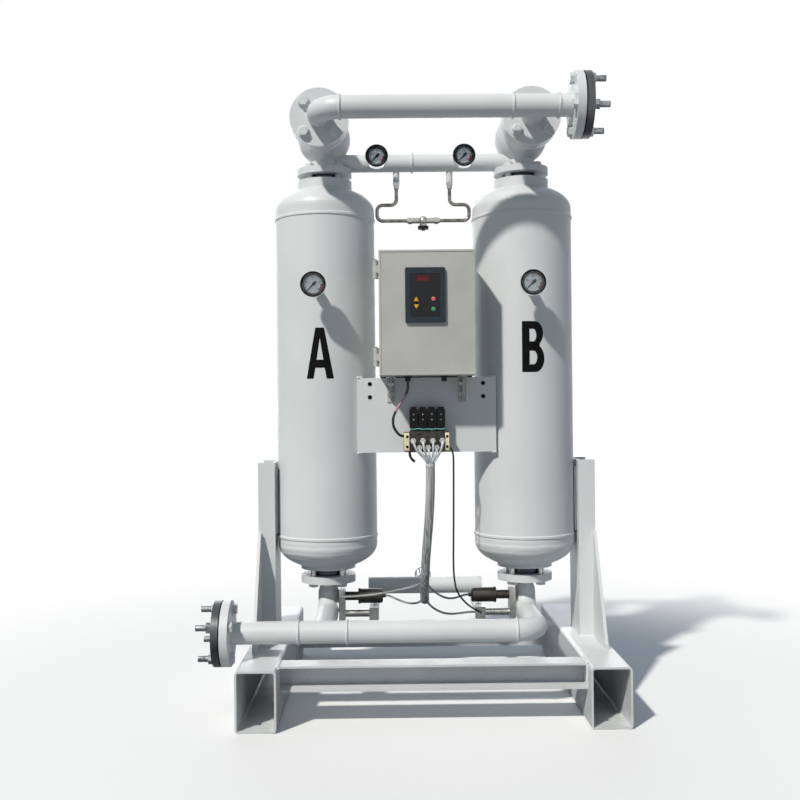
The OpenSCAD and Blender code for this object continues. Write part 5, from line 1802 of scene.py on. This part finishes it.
@dataclass
class DoorLip:
    """The raised lip pressed round the edge of the cabinet door."""

    width: float = 248.0
    low: float = 860.0
    high: float = 1182.0
    front: float = -225.0
    margin: float = 1.0
    band: float = 5.0
    proud: float = 1.3
    sunk: float = 0.4
    edge: float = 0.6

    def build(self) -> None:
        """Cuts the frame from a sheet, thickens it and rounds its edges."""
        piece = Bench.start("door_lip", bpy.ops.mesh.primitive_plane_add, size=1.0,
                            rotation=(QUARTER, 0.0, 0.0))
        piece.scale = (mm(self.width - self.margin), mm(self.high - self.low - self.margin), 1.0)
        piece.location = mm_point((0.0, self.front, (self.low + self.high) / 2))
        Bench.edit(Bench.settle(piece), lambda face: True)
        bpy.ops.mesh.inset(thickness=mm(self.band), depth=0.0)
        bpy.ops.mesh.delete(type="FACE")
        Bench.leave()
        thick = self.proud + self.sunk
        Bench.modify(piece, "SOLIDIFY", thickness=mm(thick), offset=self.proud / thick * 2 - 1)
        Bench.tidy_shell(Bench.round_edges(piece, self.edge, 3))
        dress(Bench.smooth(piece), CABINET_COAT, Body.DOOR)


@dataclass
class CoverCaps:
    """Painted washers and hexagonal crowns on the cover bolts."""

    tower_x: float = 273.0
    axis_z: float = 1524.0
    face: float = -225.0
    circle_r: float = 55.0
    turns: Sequence[float] = (45.0, 135.0, 225.0, 315.0)
    washer_r: float = 16.0
    washer_t: float = 3.0
    washer_edge: float = 0.9
    crown_r: float = 13.2
    crown_h: float = 10.0
    crown_off: float = 2.6
    crown_turn: float = 30.0
    crown_step: Pair = (1.6, 0.9)
    crown_edge: float = 0.5

    def build(self) -> None:
        """Models one washer with its crown and copies it to both covers."""
        washer = Bench.disc("washer", self.washer_r, self.washer_t, 36, (0.0, -self.washer_t / 2, 0.0))
        Bench.round_edges(washer, self.washer_edge, 3)
        crown = Bench.disc("crown", self.crown_r, self.crown_h, 6,
                           (0.0, -self.crown_h / 2 - self.crown_off, 0.0), self.crown_turn)
        Bench.round_edges(Bench.press(crown, self.crown_step), self.crown_edge)
        first = Bench.smooth(Bench.join([washer, crown], "cover_cap"), angle=25.0)
        spots = [(x + self.circle_r * math.cos(math.radians(turn)), self.face,
                  self.axis_z + self.circle_r * math.sin(math.radians(turn)))
                 for x in (-self.tower_x, self.tower_x) for turn in self.turns]
        dress(Bench.scatter(first, "cover_bolt_caps", spots), GREY_PAINT)


def dress_nodes(nodes: dict[str, Piece]) -> None:
    """Gives every solid of the frame its finish.

    Args:
        nodes: Node name to its object.
    """
    for finish, names in NODE_FINISHES.items():
        for name in names:
            for slot in nodes[name].material_slots:
                slot.material = finish.material()


def main() -> None:
    """Builds the scene in order."""
    logging.basicConfig(level=logging.INFO, format="%(name)s %(message)s")
    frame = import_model()
    ViewCamera().build()
    Tubing().build()
    dress_nodes(frame["nodes"])
    for sub_assembly in (
            TowerMark("tower_letter_a", LETTER_A, axis=-273.0, side=-9.0, level=924.0, width=73.0),
            TowerMark("tower_letter_b", LETTER_B, axis=273.0, side=11.0, level=936.0, width=60.0),
            Gauge("gauge_a", (-292.0, -216.5, 1096.0), bezel_r=34.0, pointer=Body.POINTER_A),
            Gauge("gauge_b", (273.0, -216.5, 1096.0), bezel_r=34.0, pointer=Body.POINTER_B),
            Gauge("gauge_left", (-127.0, -81.0, 1457.0), bezel_r=31.0, pointer=Body.POINTER_LEFT),
            Gauge("gauge_right", (109.0, -81.0, 1457.0), bezel_r=31.0, pointer=Body.POINTER_RIGHT),
            ControllerFace(), PilotStation(), WeldBeads(), BracketBolts(), PanelHoleShade(), SeatStrips(),
            DoorLip(), CoverCaps(), Studio()):
        sub_assembly.build()


if __name__ == "__main__":
    main()
